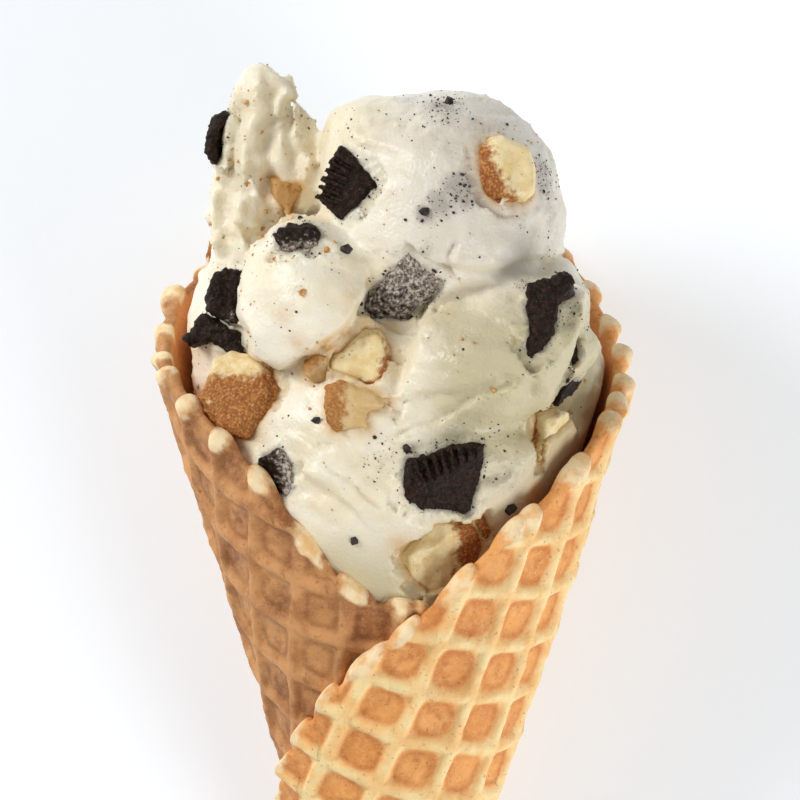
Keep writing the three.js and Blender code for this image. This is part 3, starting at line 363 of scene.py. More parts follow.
def waffle_sheet():
    angles = np.linspace(ROLL_FROM, ROLL_TO, COLUMNS)
    rim, knob = rim_shape(angles)
    body_end = rim - EDGE_ROUND
    rows = np.linspace(0, 1, OUTER_ROWS)
    inner_rows = np.linspace(1, 0, INNER_ROWS)
    grown = TIP_HOLE + (body_end - TIP_HOLE)[:, None] * rows
    inner_slant = TIP_HOLE + (body_end - TIP_HOLE)[:, None] * inner_rows
    angle = np.broadcast_to(angles[:, None], grown.shape)
    flat = flat_place(grown, angle)
    crest, foot = (v.reshape(grown.shape) for v in ridges(flat))
    patchy = noise(flat, 13, 21, 2).reshape(grown.shape)
    grain = noise(flat, 1.5, 25, 2).reshape(grown.shape)
    dents = noise(flat, 5, 31, 2).reshape(grown.shape)
    next_rim = disc_slant(np.minimum(angle + TAU, ROLL_TO))
    covered = np.where(angle + TAU < ROLL_TO, smooth(1, -5, grown - next_rim), 0)
    to_edge = body_end[:, None] - grown
    near_edge = np.exp(-((to_edge / 2.6) ** 2))
    here = knob[:, None]
    relief = RIDGE * (1.5 + 0.25 * patchy) * (0.7 * crest + 0.3 * foot) * (1 - covered)
    outer = SHEET + relief + 0.13 * grain * (1 - covered) + 0.16 * dents * (1 - covered)
    outer += near_edge * (1.0 * here - 0.25) * (1 - 0.5 * crest)
    inner_angle = np.broadcast_to(angles[:, None], inner_slant.shape)
    wander = noise(flat_place(inner_slant, inner_angle), 9, 41, 2)
    inner = 0.1 * wander.reshape(inner_slant.shape)
    inner_edge = np.exp(-(((body_end[:, None] - inner_slant) / 2.6) ** 2))
    inner -= inner_edge * (0.05 + 0.5 * here)
    phase = np.linspace(0, math.pi, EDGE_ROWS + 2)[1:-1]
    middle = (outer[:, -1:] + inner[:, :1]) / 2
    half = (outer[:, -1:] - inner[:, :1]) / 2
    edge_slant = body_end[:, None] + EDGE_ROUND * np.sin(phase)
    edge_height = middle + half * np.cos(phase)
    slant = np.concatenate([grown, edge_slant, inner_slant], 1)
    height = np.concatenate([outer, edge_height, inner], 1)
    angle = np.broadcast_to(angles[:, None], slant.shape)
    points = rolled(slant, angle, height).reshape(-1, 3)
    # The cone isn't quite round. Both turns of the roll bulge together, so that neither goes through the
    # other.
    outward = points * [1, 1, 0] / np.maximum(np.linalg.norm(points[:, :2], axis=1), 1)[:, None]
    base = rolled(slant, angle, 0 * height).reshape(-1, 3)
    bulge = noise(base * [1, 1, 0.6] / 30, 1, 51) * smooth(30, 70, base[:, 2])
    points += outward * (0.55 * bulge)[:, None]
    count = slant.shape[1]
    quads = facing_out(points, grid_quads(COLUMNS, count, False))
    ends = [np.arange(count)[None, :], np.arange((COLUMNS - 1) * count, COLUMNS * count)[None, :]]
    bare_edge = np.zeros_like(edge_slant)
    # Painted shade, with some deeper toast: the left flap of the roll is painted darker and browner than the
    # right.
    shaded_left_flap = np.broadcast_to(smooth(-0.35, -1.0, angles)[:, None], slant.shape)
    attributes = {
        "foot": np.concatenate([foot * (1 - covered), bare_edge, np.zeros_like(inner)], 1),
        "edge": np.concatenate(
            [
                np.exp(-((to_edge / (0.9 + 2.2 * here)) ** 2)) * (0.25 + 0.75 * here),
                np.repeat(0.3 + 0.7 * here, EDGE_ROWS, 1),
                inner_edge * (0.2 + 0.8 * here),
            ],
            1,
        ),
        "lining": np.concatenate([np.zeros_like(grown), bare_edge, np.ones_like(inner)], 1),
        "shaded_left_flap": shaded_left_flap,
    }
    flat_attributes = {key: value.reshape(-1) for key, value in attributes.items()}
    return points, quads, ends, flat_attributes


def waffle_tip():
    """The pinched tip: the outermost turn goes on, fainter, to a rounded end."""
    columns, rows = 120, 56
    angles = ROLL_TO - TAU + TAU * np.arange(columns) / columns
    heights = np.linspace(34, 10.0, rows)
    angle, z = np.meshgrid(angles, heights, indexing="ij")
    lift = TURN_STEP * (angle - ROLL_FROM) / TAU - ROLL_INSET + SHEET + 0.15
    slant = (z + lift * SIN_HALF) / COS_HALF
    on_roll = slant * SIN_HALF + lift * COS_HALF
    from_seam = angle - angles[0]
    seam = 1 - 0.35 * np.exp(-((from_seam / 0.12) ** 2)) - 0.2 * smooth(0.3, 0, TAU - from_seam)
    blend = smooth(28, 21, z)
    taper = 7.3 + (z - 28) * 0.33
    radius = on_roll * (1 - blend) + taper * blend
    radius -= smooth(27, 31, z) * 0.9
    end = np.clip((z - heights[-1]) / 2.4, 0, 1)
    radius = radius * np.sqrt(1 - (1 - end) ** 2)
    flat = flat_place(slant, angle)
    foot = ridges(flat)[1].reshape(z.shape)
    fade = smooth(15, 26, z)
    side = BACK_TURN - angle
    outline = np.stack([np.sin(side) * 6, np.cos(side) * 6, z], -1).reshape(-1, 3)
    lumps = noise(outline, (4, 4, 6), 61, 3).reshape(z.shape)
    radius = radius + end * (0.5 * foot * fade + 0.55 * lumps) * smooth(31, 27, z)
    radius = radius * (1 - (1 - seam) * 0.35 * smooth(30, 26, z))
    points = np.stack([radius * np.sin(side), -radius * np.cos(side), z], -1).reshape(-1, 3)
    rim = np.arange(columns) * rows
    quads = facing_out(points, grid_quads(columns, rows, True))
    attributes = {
        "foot": (foot * fade).ravel(),
        "edge": (0.5 * smooth(15, 10, z)).ravel(),
        "lining": np.zeros(z.size),
        "shaded_left_flap": np.zeros(z.size),
    }
    return points, quads, [rim[None, :], (rim + rows - 1)[None, :]], attributes


def make_waffle():
    parts = [waffle_sheet(), waffle_tip()]
    points, faces, attributes, base = [], [], {}, 0
    for part_points, quads, ends, part_attributes in parts:
        points.append(part_points)
        faces.append(quads + base)
        faces += [end + base for end in ends]
        for key, value in part_attributes.items():
            attributes.setdefault(key, []).append(value)
        base += len(part_points)
    joined = {key: np.concatenate(value) for key, value in attributes.items()}
    return mesh_object("waffle", np.concatenate(points), faces, joined)


# ------------ cookie and cheesecake pieces

PIECE_NODES = sorted(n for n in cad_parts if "_piece_" in n)


def cad_tree(node):
    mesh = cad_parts[node].data
    points = upright([tuple(v.co) for v in mesh.vertices])
    faces = [tuple(f.vertices) for f in mesh.polygons]
    return points, BVHTree.FromPolygons([tuple(p) for p in points], faces)


PIECE_TREES = {node: cad_tree(node) for node in PIECE_NODES}
HIDDEN = {f"cookie_piece_{n}" for n in (11, 12, 13, 14)}
HIDDEN |= {f"cheesecake_piece_{n}" for n in (9, 10, 11)}


def piece_outward(node, middle):
    """The way a piece faces: towards the viewer, or straight out of the heap where it is hidden."""
    way = middle * [1, 1, 0] if node in HIDDEN else VIEWER - middle
    return way / np.linalg.norm(way)


# ------------ the custard

CUSTARD_CELL = 0.6
CUSTARD_LOW, CUSTARD_HIGH = (-45, -45, 88), (46, 45, 206)
FILL_SOLID = 100
PIECE_REACH = 2.8


def lobes_distance(x, y, z):
    distance = None
    for at, half, lean, soft in LOBES:
        turn = math.radians(lean)
        dx, dz, dy = x - at[0], z - at[2], -y - at[1]
        p = (dx * math.cos(turn) + dz * math.sin(turn), dy, -dx * math.sin(turn) + dz * math.cos(turn))
        near = np.sqrt(sum((c / h) ** 2 for c, h in zip(p, half)))
        slope = np.sqrt(sum((c / h**2) ** 2 for c, h in zip(p, half)))
        other = near * (near - 1) / np.maximum(slope, 1e-6)
        if distance is None:
            distance = other
            continue
        mix = np.clip(0.5 + 0.5 * (distance - other) / soft, 0, 1)
        distance = distance + (other - distance) * mix - soft * mix * (1 - mix)
    return distance


def room_distance(x, y, z, gap):
    """Distance to the cone's inner face, negative in the room inside it."""
    side = np.arctan2(x, -y)
    turn = np.mod(BACK_TURN - side - ROLL_FROM, TAU)
    eased = np.minimum(turn, (TAU - turn) * 6)
    lift = TURN_STEP * eased / TAU - ROLL_INSET - gap
    slant = (z + lift * SIN_HALF) / COS_HALF
    return (np.hypot(x, y) - slant * SIN_HALF - lift * COS_HALF) * COS_HALF


# Edges and creases of the custard as the viewer sees them: points in pixels of the picture, then how far the
# surface rises (or sinks, below nought) left of the line and over how many millimetres, and the same right of
# it. Left and right are those of someone who follows the line.
STROKES = [
    # The left scoop hangs over what is below it.
    ([(246, 338), (251, 360), (283, 371), (302, 358), (318, 343), (342, 330), (354, 306)], 1, 3.6, -2, 2.4),
    # The edge of the big fold on the right.
    ([(455, 246), (451, 278), (426, 303), (415, 355), (400, 384)], 0.9, 3.2, -1.1, 2.0),
    ([(405, 434), (440, 424), (476, 399), (508, 387)], -0.7, 2.6, 0.8, 2.0),
    ([(400, 396), (440, 392), (480, 380)], 0.5, 3.0, -0.6, 1.6),
    # Where the top scoop lies on it.
    ([(452, 262), (480, 267), (522, 263), (560, 256)], 0.5, 2.4, -0.8, 1.5),
    ([(440, 289), (480, 286), (520, 289)], -0.2, 0.8, -0.2, 0.8),
    ([(435, 300), (475, 298), (520, 301)], -0.25, 0.9, -0.25, 0.9),
    ([(426, 313), (470, 310), (518, 312)], -0.25, 0.9, -0.25, 0.9),
    ([(420, 338), (470, 336), (530, 352)], -0.3, 1.1, -0.3, 1.1),
    ([(552, 342), (541, 366), (531, 393)], -0.6, 0.9, -0.6, 0.9),
    # The lobe on the far right falls away to the rim.
    ([(592, 286), (584, 318), (574, 345), (562, 383), (552, 404)], -2.2, 4.0, 0.7, 2.4),
    # The crest of the tongue.
    ([(298, 470), (338, 494), (372, 530), (405, 572), (426, 594)], 0.6, 3.2, -1.0, 4.0),
    ([(352, 438), (380, 470), (398, 492)], 0.6, 1.8, -0.6, 1.6),
    ([(300, 440), (318, 452), (340, 446)], -0.6, 1.4, 0.6, 1.6),
    ([(330, 470), (352, 478), (378, 512)], -0.6, 1.2, 0.7, 1.6),
    # Whipped folds of the peak.
    ([(273, 98), (277, 130), (271, 160), (266, 190), (262, 232)], -1.2, 1.3, -1.2, 1.3),
    ([(253, 92), (251, 130), (245, 165), (241, 200), (237, 244)], 0.8, 1.5, 0.8, 1.5),
    ([(241, 108), (235, 150), (230, 190), (225, 236)], -0.9, 1.1, -0.9, 1.1),
    ([(290, 104), (293, 132), (299, 152), (296, 172)], -1.0, 1.1, -1.0, 1.1),
    ([(218, 186), (242, 193), (256, 188)], -0.9, 0.9, -0.9, 0.9),
    ([(212, 232), (236, 238), (252, 233)], -0.8, 0.9, -0.8, 0.9),
    ([(240, 120), (262, 126), (284, 120)], -0.6, 0.8, -0.6, 0.8),
]


def in_picture(p):
    """Where the viewer sees upright points, in pixels."""
    away = p - VIEW_MIDDLE
    near = VIEW_DISTANCE / (VIEW_DISTANCE - away @ TO_VIEWER) / VIEW_SCALE
    return PICTURE / 2 + near * away[:, 0], PICTURE / 2 - near * (away @ VIEW_UP)


def stroke_relief(p):
    x, y = in_picture(p)
    total = np.zeros(len(p))
    for line, left, left_reach, right, right_reach in STROKES:
        nearest = np.full(len(p), 1e9)
        is_right = np.zeros(len(p))
        for (x0, y0), (x1, y1) in zip(line, line[1:]):
            dx, dy = x1 - x0, y1 - y0
            t = np.clip(((x - x0) * dx + (y - y0) * dy) / (dx * dx + dy * dy), 0, 1)
            away = np.hypot(x - x0 - t * dx, y - y0 - t * dy)
            side = (dx * (y - y0) - dy * (x - x0)) / math.hypot(dx, dy)
            closer = away < nearest
            nearest = np.where(closer, away, nearest)
            is_right = np.where(closer, side, is_right)
        nearest = nearest * VIEW_SCALE
        is_right = smooth(-0.7, 0.7, is_right * VIEW_SCALE)
        rise = left * np.exp(-((nearest / left_reach) ** 2)) * (1 - is_right)
        total += rise + right * np.exp(-((nearest / right_reach) ** 2)) * is_right
    return total * smooth(7, 1, p[:, 1])


def custard_relief(p):
    """How far the custard stands out of its plain lobes, in millimetres, at upright points."""
    x, y, z = p.T
    peak = smooth(-9, -14, x + 0.15 * (z - 180)) * smooth(156, 164, z) * smooth(-8, -4, y)
    front = smooth(144, 132, z) * smooth(4, -6, y)
    fold = smooth(0, 12, x) * smooth(168, 160, z) * smooth(118, 128, z)
    wander = 0.9 * np.stack([noise(p, 6, salt) for salt in (131, 133, 135)], 1)
    out = 0.45 * noise(p, 9, 71, 2) + 0.18 * noise(p, 2.2, 75, 2) + stroke_relief(p + wander)
    # Streaks where the scoop dragged, which run round the heap and fall a little to the right.
    dragged = turned(p, Y=-14) + 1.2 * noise(p, 14, 79)[:, None] * [0, 0, 1]
    calm = smooth(-0.5, 0.35, noise(p, 13, 85))
    out += calm * (1 - peak) * (0.16 + 0.14 * fold) * noise(dragged, (16, 12, 1.6), 81, 2)
    out += (1 - peak) * (0.3 + 0.2 * fold) * noise(dragged, (26, 18, 4.6), 83, 2)
    # Torn patches, where the frozen surface has crumbled.
    scuffed = smooth(0.15, 0.5, noise(dragged, (10, 9, 3.4), 91, 2))
    out += 0.4 * scuffed * np.abs(noise(p, 1.3, 95, 2))
    curds = noise(turned(p, X=20, Z=35), (8, 8, 3.6), 101, 2)
    out += front * (0.8 * curds + 0.4 * noise(p, 2.6, 105, 2))
    tall = turned(p, Y=8)
    crags = 0.6 - 1.8 * np.abs(noise(tall, (4.2, 4.2, 9), 111, 2))
    top = smooth(203, 193, z)
    lumps = 0.7 * noise(p, 2.6, 117, 2) + 0.3 * noise(p, 1.3, 119)
    out += peak * ((0.45 + 0.55 * top) * (1.1 * crags + lumps) - 0.5)
    return out


def near_pieces(p, reach, kinds):
    """For each upright point, the distance to the nearest piece of these kinds, up to reach, and how far the
    point is in front of that piece's face, from 0 to 1."""
    nearest = np.full(len(p), float(reach))
    ahead = np.zeros(len(p))
    for node, (points, tree) in PIECE_TREES.items():
        if not node.startswith(kinds):
            continue
        low, high = points.min(0) - reach, points.max(0) + reach
        out = Vector(piece_outward(node, points.mean(0)))
        for i in np.flatnonzero(np.all((p > low) & (p < high), 1)):
            place, normal, _, distance = tree.find_nearest(Vector(p[i]), reach)
            if place is None:
                continue
            is_inside = (Vector(p[i]) - place).dot(normal) < 0
            distance = -distance if is_inside else distance
            if distance < nearest[i]:
                nearest[i] = distance
                ahead[i] = normal.dot(out)
    return nearest, smooth(0.35, 0.75, ahead)


def places_in(band, axes):
    return np.stack([axis[n] for axis, n in zip(axes, np.nonzero(band))], 1).astype(float)


def custard_surface():
    ends = zip(CUSTARD_LOW, CUSTARD_HIGH)
    axes = [np.arange(low, high, CUSTARD_CELL, dtype=np.float32) for low, high in ends]
    x, y, z = np.meshgrid(*axes, indexing="ij", sparse=True)
    field = lobes_distance(x, y, z)
    band = np.abs(field) < 4
    field[band] -= custard_relief(places_in(band, axes))
    field = np.minimum(field, z - FILL_SOLID)
    wall = room_distance(x, y, z, -0.25)
    field = np.maximum(field, wall)
    # The custard laps up against the sides of the pieces in it and leaves their faces bare.
    band = np.abs(field) < PIECE_REACH
    p = places_in(band, axes)
    values = field[band]
    away, ahead = near_pieces(p, PIECE_REACH, ("cookie", "cheesecake"))
    by_piece = away < PIECE_REACH
    beside = np.exp(-((np.maximum(away, 0) / 1.0) ** 2)) * by_piece
    ragged = 0.8 + 0.7 * noise(p, 2.4, 121, 2)
    lapped = values - 0.6 * ragged * beside * (1 - ahead)
    values = np.where(by_piece, np.maximum(lapped, 0.6 * (2 * ahead - 1)), values)
    field[band] = np.maximum(values, wall[band])
    field = np.maximum(field, CUSTARD_LOW[2] + 2 * CUSTARD_CELL - z)
    for axis in range(3):
        edge = [slice(None)] * 3
        for end in (0, -1):
            edge[axis] = end
            field[tuple(edge)] = 1
    return surface_nets(field, [axis[0] for axis in axes], CUSTARD_CELL)


# ------------ materials


def colour(red, green, blue):
    """An sRGB colour, 0 to 255, as the linear one that shaders take."""
    linear = [c / 255 / 12.92 if c <= 10 else ((c / 255 + 0.055) / 1.055) ** 2.4 for c in (red, green, blue)]
    return (*linear, 1)


class Look:
    """A node material in the making."""

    def __init__(self, name):
        self.material = bpy.data.materials.new(name)
        self.material.use_nodes = True
        self.tree = self.material.node_tree
        self.tree.nodes.clear()
        self.coordinates = self.tree.nodes.new("ShaderNodeTexCoord").outputs["Object"]

    def plug(self, socket, value):
        if isinstance(value, bpy.types.NodeSocket):
            self.tree.links.new(value, socket)
        else:
            socket.default_value = value

    def noise(self, size, detail=2, stretch=None):
        """Noise about 0 to 1 over size millimetres."""
        made = self.tree.nodes.new("ShaderNodeTexNoise")
        vector = self.coordinates
        if stretch:
            mapping = self.tree.nodes.new("ShaderNodeMapping")
            self.tree.links.new(vector, mapping.inputs["Vector"])
            mapping.inputs["Scale"].default_value = stretch
            vector = mapping.outputs[0]
        self.tree.links.new(vector, made.inputs["Vector"])
        made.inputs["Scale"].default_value = 1 / (size * MM)
        made.inputs["Detail"].default_value = detail
        return made.outputs["Fac"]

    def cells(self, size):
        """Distance to the middle of the nearest of many cells of size millimetres."""
        made = self.tree.nodes.new("ShaderNodeTexVoronoi")
        self.tree.links.new(self.coordinates, made.inputs["Vector"])
        made.inputs["Scale"].default_value = 1 / (size * MM)
        return made.outputs["Distance"]

    def range(self, value, low, high, to_low=0.0, to_high=1.0):
        made = self.tree.nodes.new("ShaderNodeMapRange")
        made.interpolation_type = "SMOOTHSTEP"
        for key, number in zip(("From Min", "From Max", "To Min", "To Max"), (low, high, to_low, to_high)):
            made.inputs[key].default_value = number
        self.plug(made.inputs["Value"], value)
        return made.outputs["Result"]

    def math(self, operation, a, b):
        made = self.tree.nodes.new("ShaderNodeMath")
        made.operation = operation
        self.plug(made.inputs[0], a)
        self.plug(made.inputs[1], b)
        return made.outputs[0]

    def times(self, a, b):
        return self.math("MULTIPLY", a, b)

    def plus(self, a, b):
        return self.math("ADD", a, b)

    def mix(self, factor, a, b):
        made = self.tree.nodes.new("ShaderNodeMix")
        made.data_type = "RGBA"
        self.plug(made.inputs[0], factor)
        self.plug(made.inputs[6], a)
        self.plug(made.inputs[7], b)
        return made.outputs[2]

    def patches(self, size, detail, low, high, *to):
        return self.range(self.noise(size, detail), low, high, *to)

    def mottled(self, size, low, high, a, b):
        return self.mix(self.patches(size, 3, low, high), a, b)

    def tinted(self, base, where, share, tone):
        """base with a share of tone over it, where the value where is 1."""
        return self.mix(self.times(where, share), base, tone)

    def attribute(self, name):
        made = self.tree.nodes.new("ShaderNodeAttribute")
        made.attribute_name = name
        return made.outputs["Fac"]

    def bump(self, height, depth, before=None):
        """depth is in millimetres."""
        made = self.tree.nodes.new("ShaderNodeBump")
        made.inputs["Strength"].default_value = 1
        made.inputs["Distance"].default_value = depth * MM
        self.plug(made.inputs["Height"], height)
        if before:
            self.tree.links.new(before, made.inputs["Normal"])
        return made.outputs["Normal"]

    def bumps(self, *grains):
        """Noise of several sizes. A grain is its size, detail and depth."""
        normal = None
        for size, detail, depth in grains:
            normal = self.bump(self.noise(size, detail), depth, normal)
        return normal

    def shade(self, base, roughness, normal, **constants):
        shader = self.tree.nodes.new("ShaderNodeBsdfPrincipled")
        self.plug(shader.inputs["Base Color"], base)
        self.plug(shader.inputs["Roughness"], roughness)
        self.tree.links.new(normal, shader.inputs["Normal"])
        for key, value in constants.items():
            shader.inputs[key.replace("_", " ")].default_value = value
        output = self.tree.nodes.new("ShaderNodeOutputMaterial")
        self.tree.links.new(shader.outputs[0], output.inputs["Surface"])
        return self.material


def waffle_look():
    look = Look("baked_waffle")
    foot, edge = look.attribute("foot"), look.attribute("edge")
    # Painted shade, with some deeper toast: on the left flap each colour below gives way to a darker, browner
    # copy.
    in_left_shade = look.attribute("shaded_left_flap")
    patches = look.patches(10, 3, 0.35, 0.68)
    cell = look.mix(patches, colour(242, 170, 96), colour(222, 144, 74))
    left = look.mix(patches, colour(208, 150, 92), colour(150, 94, 50))
    base = look.mix(in_left_shade, cell, left)
    toasted = look.times(look.patches(3.2, 4, 0.5, 0.72), look.range(foot, 0.6, 0.1))
    base = look.tinted(base, toasted, 0.6, look.mix(in_left_shade, colour(190, 112, 54), colour(136, 82, 44)))
    streaks = look.range(look.noise(1.3, 4, stretch=(1, 1, 0.45)), 0.45, 0.62)
    streak_tone = look.mix(in_left_shade, colour(250, 188, 118), colour(214, 156, 104))
    base = look.tinted(base, streaks, 0.3, streak_tone)
    # Painted light: the ridge tops are painted lighter, as light falls on them, and on the left flap they are
    # painted darker, as they lie in shade there.
    lit_ridge_top = look.mottled(5, 0.4, 0.65, colour(255, 232, 172), colour(252, 206, 138))
    shaded_ridge_top = look.mottled(5, 0.4, 0.65, colour(214, 156, 100), colour(178, 121, 72))
    painted_ridge_light = look.mix(in_left_shade, lit_ridge_top, shaded_ridge_top)
    base = look.tinted(base, look.range(foot, 0.5, 0.95), 0.85, painted_ridge_light)
    # Painted shade: a darker brown band along the foot of each ridge, where shade falls beside it.
    ridge_foot_shade = look.times(look.range(foot, 0.12, 0.4), look.range(foot, 0.72, 0.45))
    ridge_foot_shade = look.times(ridge_foot_shade, look.patches(4, 3, 0.35, 0.6, 0.3, 1))
    base = look.tinted(base, ridge_foot_shade, 0.5, look.mix(in_left_shade, colour(190, 108, 50), colour(136, 80, 42)))
    base = look.tinted(base, look.attribute("lining"), 0.85, colour(232, 152, 88))
    speckle = look.patches(0.45, 3, 0.5, 0.75)
    speckle_tone = look.mix(in_left_shade, colour(252, 208, 146), colour(222, 172, 122))
    base = look.tinted(base, speckle, 0.3, speckle_tone)
    pits = look.patches(0.7, 2, 0.38, 0.26)
    base = look.tinted(base, pits, 0.5, colour(150, 86, 42))
    cream = look.mottled(2.6, 0.42, 0.68, colour(253, 228, 184), colour(246, 200, 138))
    pale = look.range(look.plus(edge, look.times(look.noise(2.2, 3), 0.9)), 0.95, 1.4)
    base = look.mix(pale, base, cream)
    normal = look.bumps((0.5, 3, 0.14), (1.8, 3, 0.3))
    return look.shade(
        base, look.patches(2, 2, 0.3, 0.7, 0.5, 0.72), normal, Subsurface_Weight=0.12,
        Subsurface_Radius=(0.0016, 0.0008, 0.0004), Subsurface_Scale=1.0, Specular_IOR_Level=0.35,
    )


def custard_look():
    look = Look("frozen_custard")
    dust, tan = look.attribute("dust"), look.attribute("tan")
    base = look.mottled(12, 0.38, 0.66, colour(248, 240, 220), colour(240, 228, 198))
    base = look.tinted(base, look.patches(5, 3, 0.55, 0.78), 0.45, colour(232, 214, 176))
    # Painted shade on the folds on the right, darker and yellower; the custard low in the cone gets the same
    # tone.
    base = look.tinted(base, look.attribute("yellow_shade"), 0.85, colour(200, 189, 150))
    # Painted shade: the ball on top is greyer on its right.
    base = look.tinted(base, look.attribute("ball_right_shade"), 0.7, colour(222, 215, 204))
    soaked = look.times(tan, look.patches(1.8, 3, 0.3, 0.6, 0.6, 1.0))
    base = look.mix(soaked, base, colour(212, 164, 88))
    cloud = look.range(look.plus(dust, look.times(look.noise(1.6, 4), 0.7)), 0.62, 1.25)
    base = look.tinted(base, cloud, 0.62, colour(150, 142, 134))
    fine = look.patches(0.42, 2, 0.66, 0.72)
    where = look.range(look.plus(dust, look.times(look.noise(3.5, 2), 0.55)), 0.42, 0.8)
    base = look.tinted(base, fine, look.times(where, 0.85), colour(70, 58, 48))
    normal = look.bumps((0.6, 3, 0.12), (2.4, 4, 0.25))
    roughness = look.patches(3, 3, 0.35, 0.7, 0.32, 0.58)
    return look.shade(
        base, roughness, normal, Subsurface_Weight=0.35, Subsurface_Radius=(0.0022, 0.0016, 0.0009),
        Subsurface_Scale=1.0, Coat_Weight=0.06, Coat_Roughness=0.2,
    )


def cookie_look():
    look = Look("chocolate_cookie")
    base = look.mix(look.patches(0.8, 4, 0.4, 0.7), colour(24, 12, 4), colour(54, 30, 15))
    base = look.tinted(base, look.patches(0.35, 2, 0.64, 0.72), 0.4, colour(104, 88, 76))
    film = look.range(look.plus(look.attribute("film"), look.times(look.noise(0.9, 4), 0.9)), 0.85, 1.2)
    chalk = look.mottled(0.5, 0.4, 0.6, colour(208, 196, 182), colour(120, 106, 96))
    base = look.mix(film, base, chalk)
    normal = look.bumps((0.45, 3, 0.3), (1.4, 3, 0.5))
    return look.shade(base, 0.5, normal, Specular_IOR_Level=0.2)


def cheesecake_look():
    look = Look("cheesecake")
    cream = look.mottled(2.2, 0.38, 0.66, colour(246, 226, 176), colour(236, 208, 148))
    grain = look.range(look.plus(look.cells(0.55), look.noise(0.9, 3)), 0.6, 1.05)
    crumb = look.mix(grain, colour(206, 140, 68), colour(158, 92, 40))
    crumb = look.mottled(0.5, 0.55, 0.72, crumb, colour(226, 172, 100))
    crust = look.range(look.plus(look.attribute("crust"), look.times(look.noise(1.1, 4), 0.5)), 0.62, 0.86)
    amber = look.attribute("amber")
    base = look.mix(crust, cream, crumb)
    base = look.tinted(base, amber, 0.85, colour(190, 138, 72))
    specks = look.times(look.patches(0.5, 2, 0.68, 0.73), 0.8)
    base = look.mix(specks, base, colour(88, 60, 38))
    height = look.mix(crust, look.noise(1.5, 3), look.cells(0.75))
    normal = look.bump(height, 0.3)
    return look.shade(
        base, look.range(crust, 0, 1, 0.42, 0.75), normal, Subsurface_Weight=0.2,
        Subsurface_Radius=(0.002, 0.0012, 0.0005), Subsurface_Scale=1.0,
    )


def crumb_look(name, light, dark):
    look = Look(name)
    base = look.mottled(0.6, 0.4, 0.65, light, dark)
    normal = look.bump(look.noise(0.4, 2), 0.1)
    return look.shade(base, 0.65, normal)


# ------------ pieces as they look

# Where each cheesecake piece has its crumb crust, as seen: the way it lies from the piece's middle (right,
# up), how much of the piece it covers, and how far the piece is soaked to amber.
CRUSTS = {
    1: ((-1.0, -0.35), 0.46, 0),
    2: ((0.35, -1.0), 0.92, 0.15),
    3: ((0.5, -0.3), 0.3, 0),
    4: ((-1.0, 0.0), 0.3, 0.55),
    5: ((-1.0, 0.2), 0.3, 0),
    6: ((0.9, 0.3), 0.22, 0),
    7: ((0.3, 0.5), 0.3, 1.0),
    8: ((0.6, 0.3), 0.6, 0),
    9: ((-0.7, 0.7), 0.45, 0),
    10: ((0.2, -1.0), 0.5, 0),
    11: ((1.0, 0.3), 0.45, 0),
    12: ((-0.8, 0.8), 0.35, 0.8),
}
# Where a cookie piece has a pale film: the way it lies and how much it covers.
FILMS = {
    2: ((0.1, -1.0), 0.52),
    3: ((0.1, 0.2), 0.72),
    5: ((0.7, -0.7), 0.34),
    6: ((0.3, -0.5), 0.3),
    8: ((-1.0, 0.4), 0.2),
    9: ((1.0, 0.1), 0.55),
    11: ((0.5, -0.6), 0.3),
}
PIECE_CELL, FINE_CELL = 0.34, 0.22
FLUTED = ("cookie_piece_1", "cookie_piece_7")


def remeshed(node):
    """The CAD piece's form in fine, even facets."""
    helper = linked("helper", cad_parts[node].data.copy())
    remesh = helper.modifiers.new("remesh", "REMESH")
    remesh.mode = "VOXEL"
    remesh.voxel_size = (FINE_CELL if node in FLUTED else PIECE_CELL) * MM
    soften = helper.modifiers.new("soften", "SMOOTH")
    soften.factor = 0.5
    soften.iterations = 1
    evaluated = helper.evaluated_get(bpy.context.evaluated_depsgraph_get())
    mesh = bpy.data.meshes.new_from_object(evaluated)
    bpy.data.objects.remove(helper)
    return mesh


def make_piece(node, order, look):
    mesh = remeshed(node)
    count = len(mesh.vertices)
    place, normal = np.zeros(count * 3, np.float32), np.zeros(count * 3, np.float32)
    mesh.vertices.foreach_get("co", place)
    mesh.vertices.foreach_get("normal", normal)
    place, normal = place.reshape(-1, 3).astype(float), normal.reshape(-1, 3)
    p = upright(place)
    middle = p.mean(0)
    toward = piece_outward(node, middle)
    right = np.cross([0, 0, 1.0], toward)
    right = right / np.linalg.norm(right)
    up = np.cross(toward, right)
    across, along = (p - middle) @ right, (p - middle) @ up
    size = max(np.abs(across).max(), np.abs(along).max())
    salt = 200 + 7 * order
    number = int(node.rsplit("_", 1)[1])
    is_cookie = node.startswith("cookie")
    if is_cookie:
        (dx, dy), share = FILMS.get(number, ((0, 0), 0.0))
        film = share + 0.5 * (across * dx + along * dy) / size - 0.1 if share else np.zeros(count)
        rough = 0.8 if node in FLUTED else 1.4
        out = rough * (0.24 * noise(p, 1.7, salt, 2) + 0.26 * np.abs(noise(p, 0.9, salt + 3, 2)) - 0.15)
        out += 0.5 * smooth(0.3, 0.9, film) * (np.abs(noise(p, 1.6, salt + 5, 2)) - 0.2)
        attributes = {"film": film}
    else:
        (dx, dy), share, amber = CRUSTS[number]
        crust = share + 0.75 * (across * dx + along * dy) / size + 0.18 * noise(p, 3.5, salt, 2)
        rough = smooth(0.35, 0.65, crust)
        out = 0.22 * noise(p, 2.4, salt + 2, 2) + rough * (0.42 * np.abs(noise(p, 1.0, salt + 4, 2)) - 0.05)
        attributes = {"crust": crust, "amber": np.full(count, float(amber))}
    place += normal * (out * MM)[:, None]
    mesh.vertices.foreach_set("co", place.astype(np.float32).ravel())
    mesh.update()
    smooth_with(mesh, attributes)
    mesh.materials.clear()
    mesh.materials.append(look)
    piece = linked("look_" + node, mesh)
    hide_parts(node)
    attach(piece, "root")


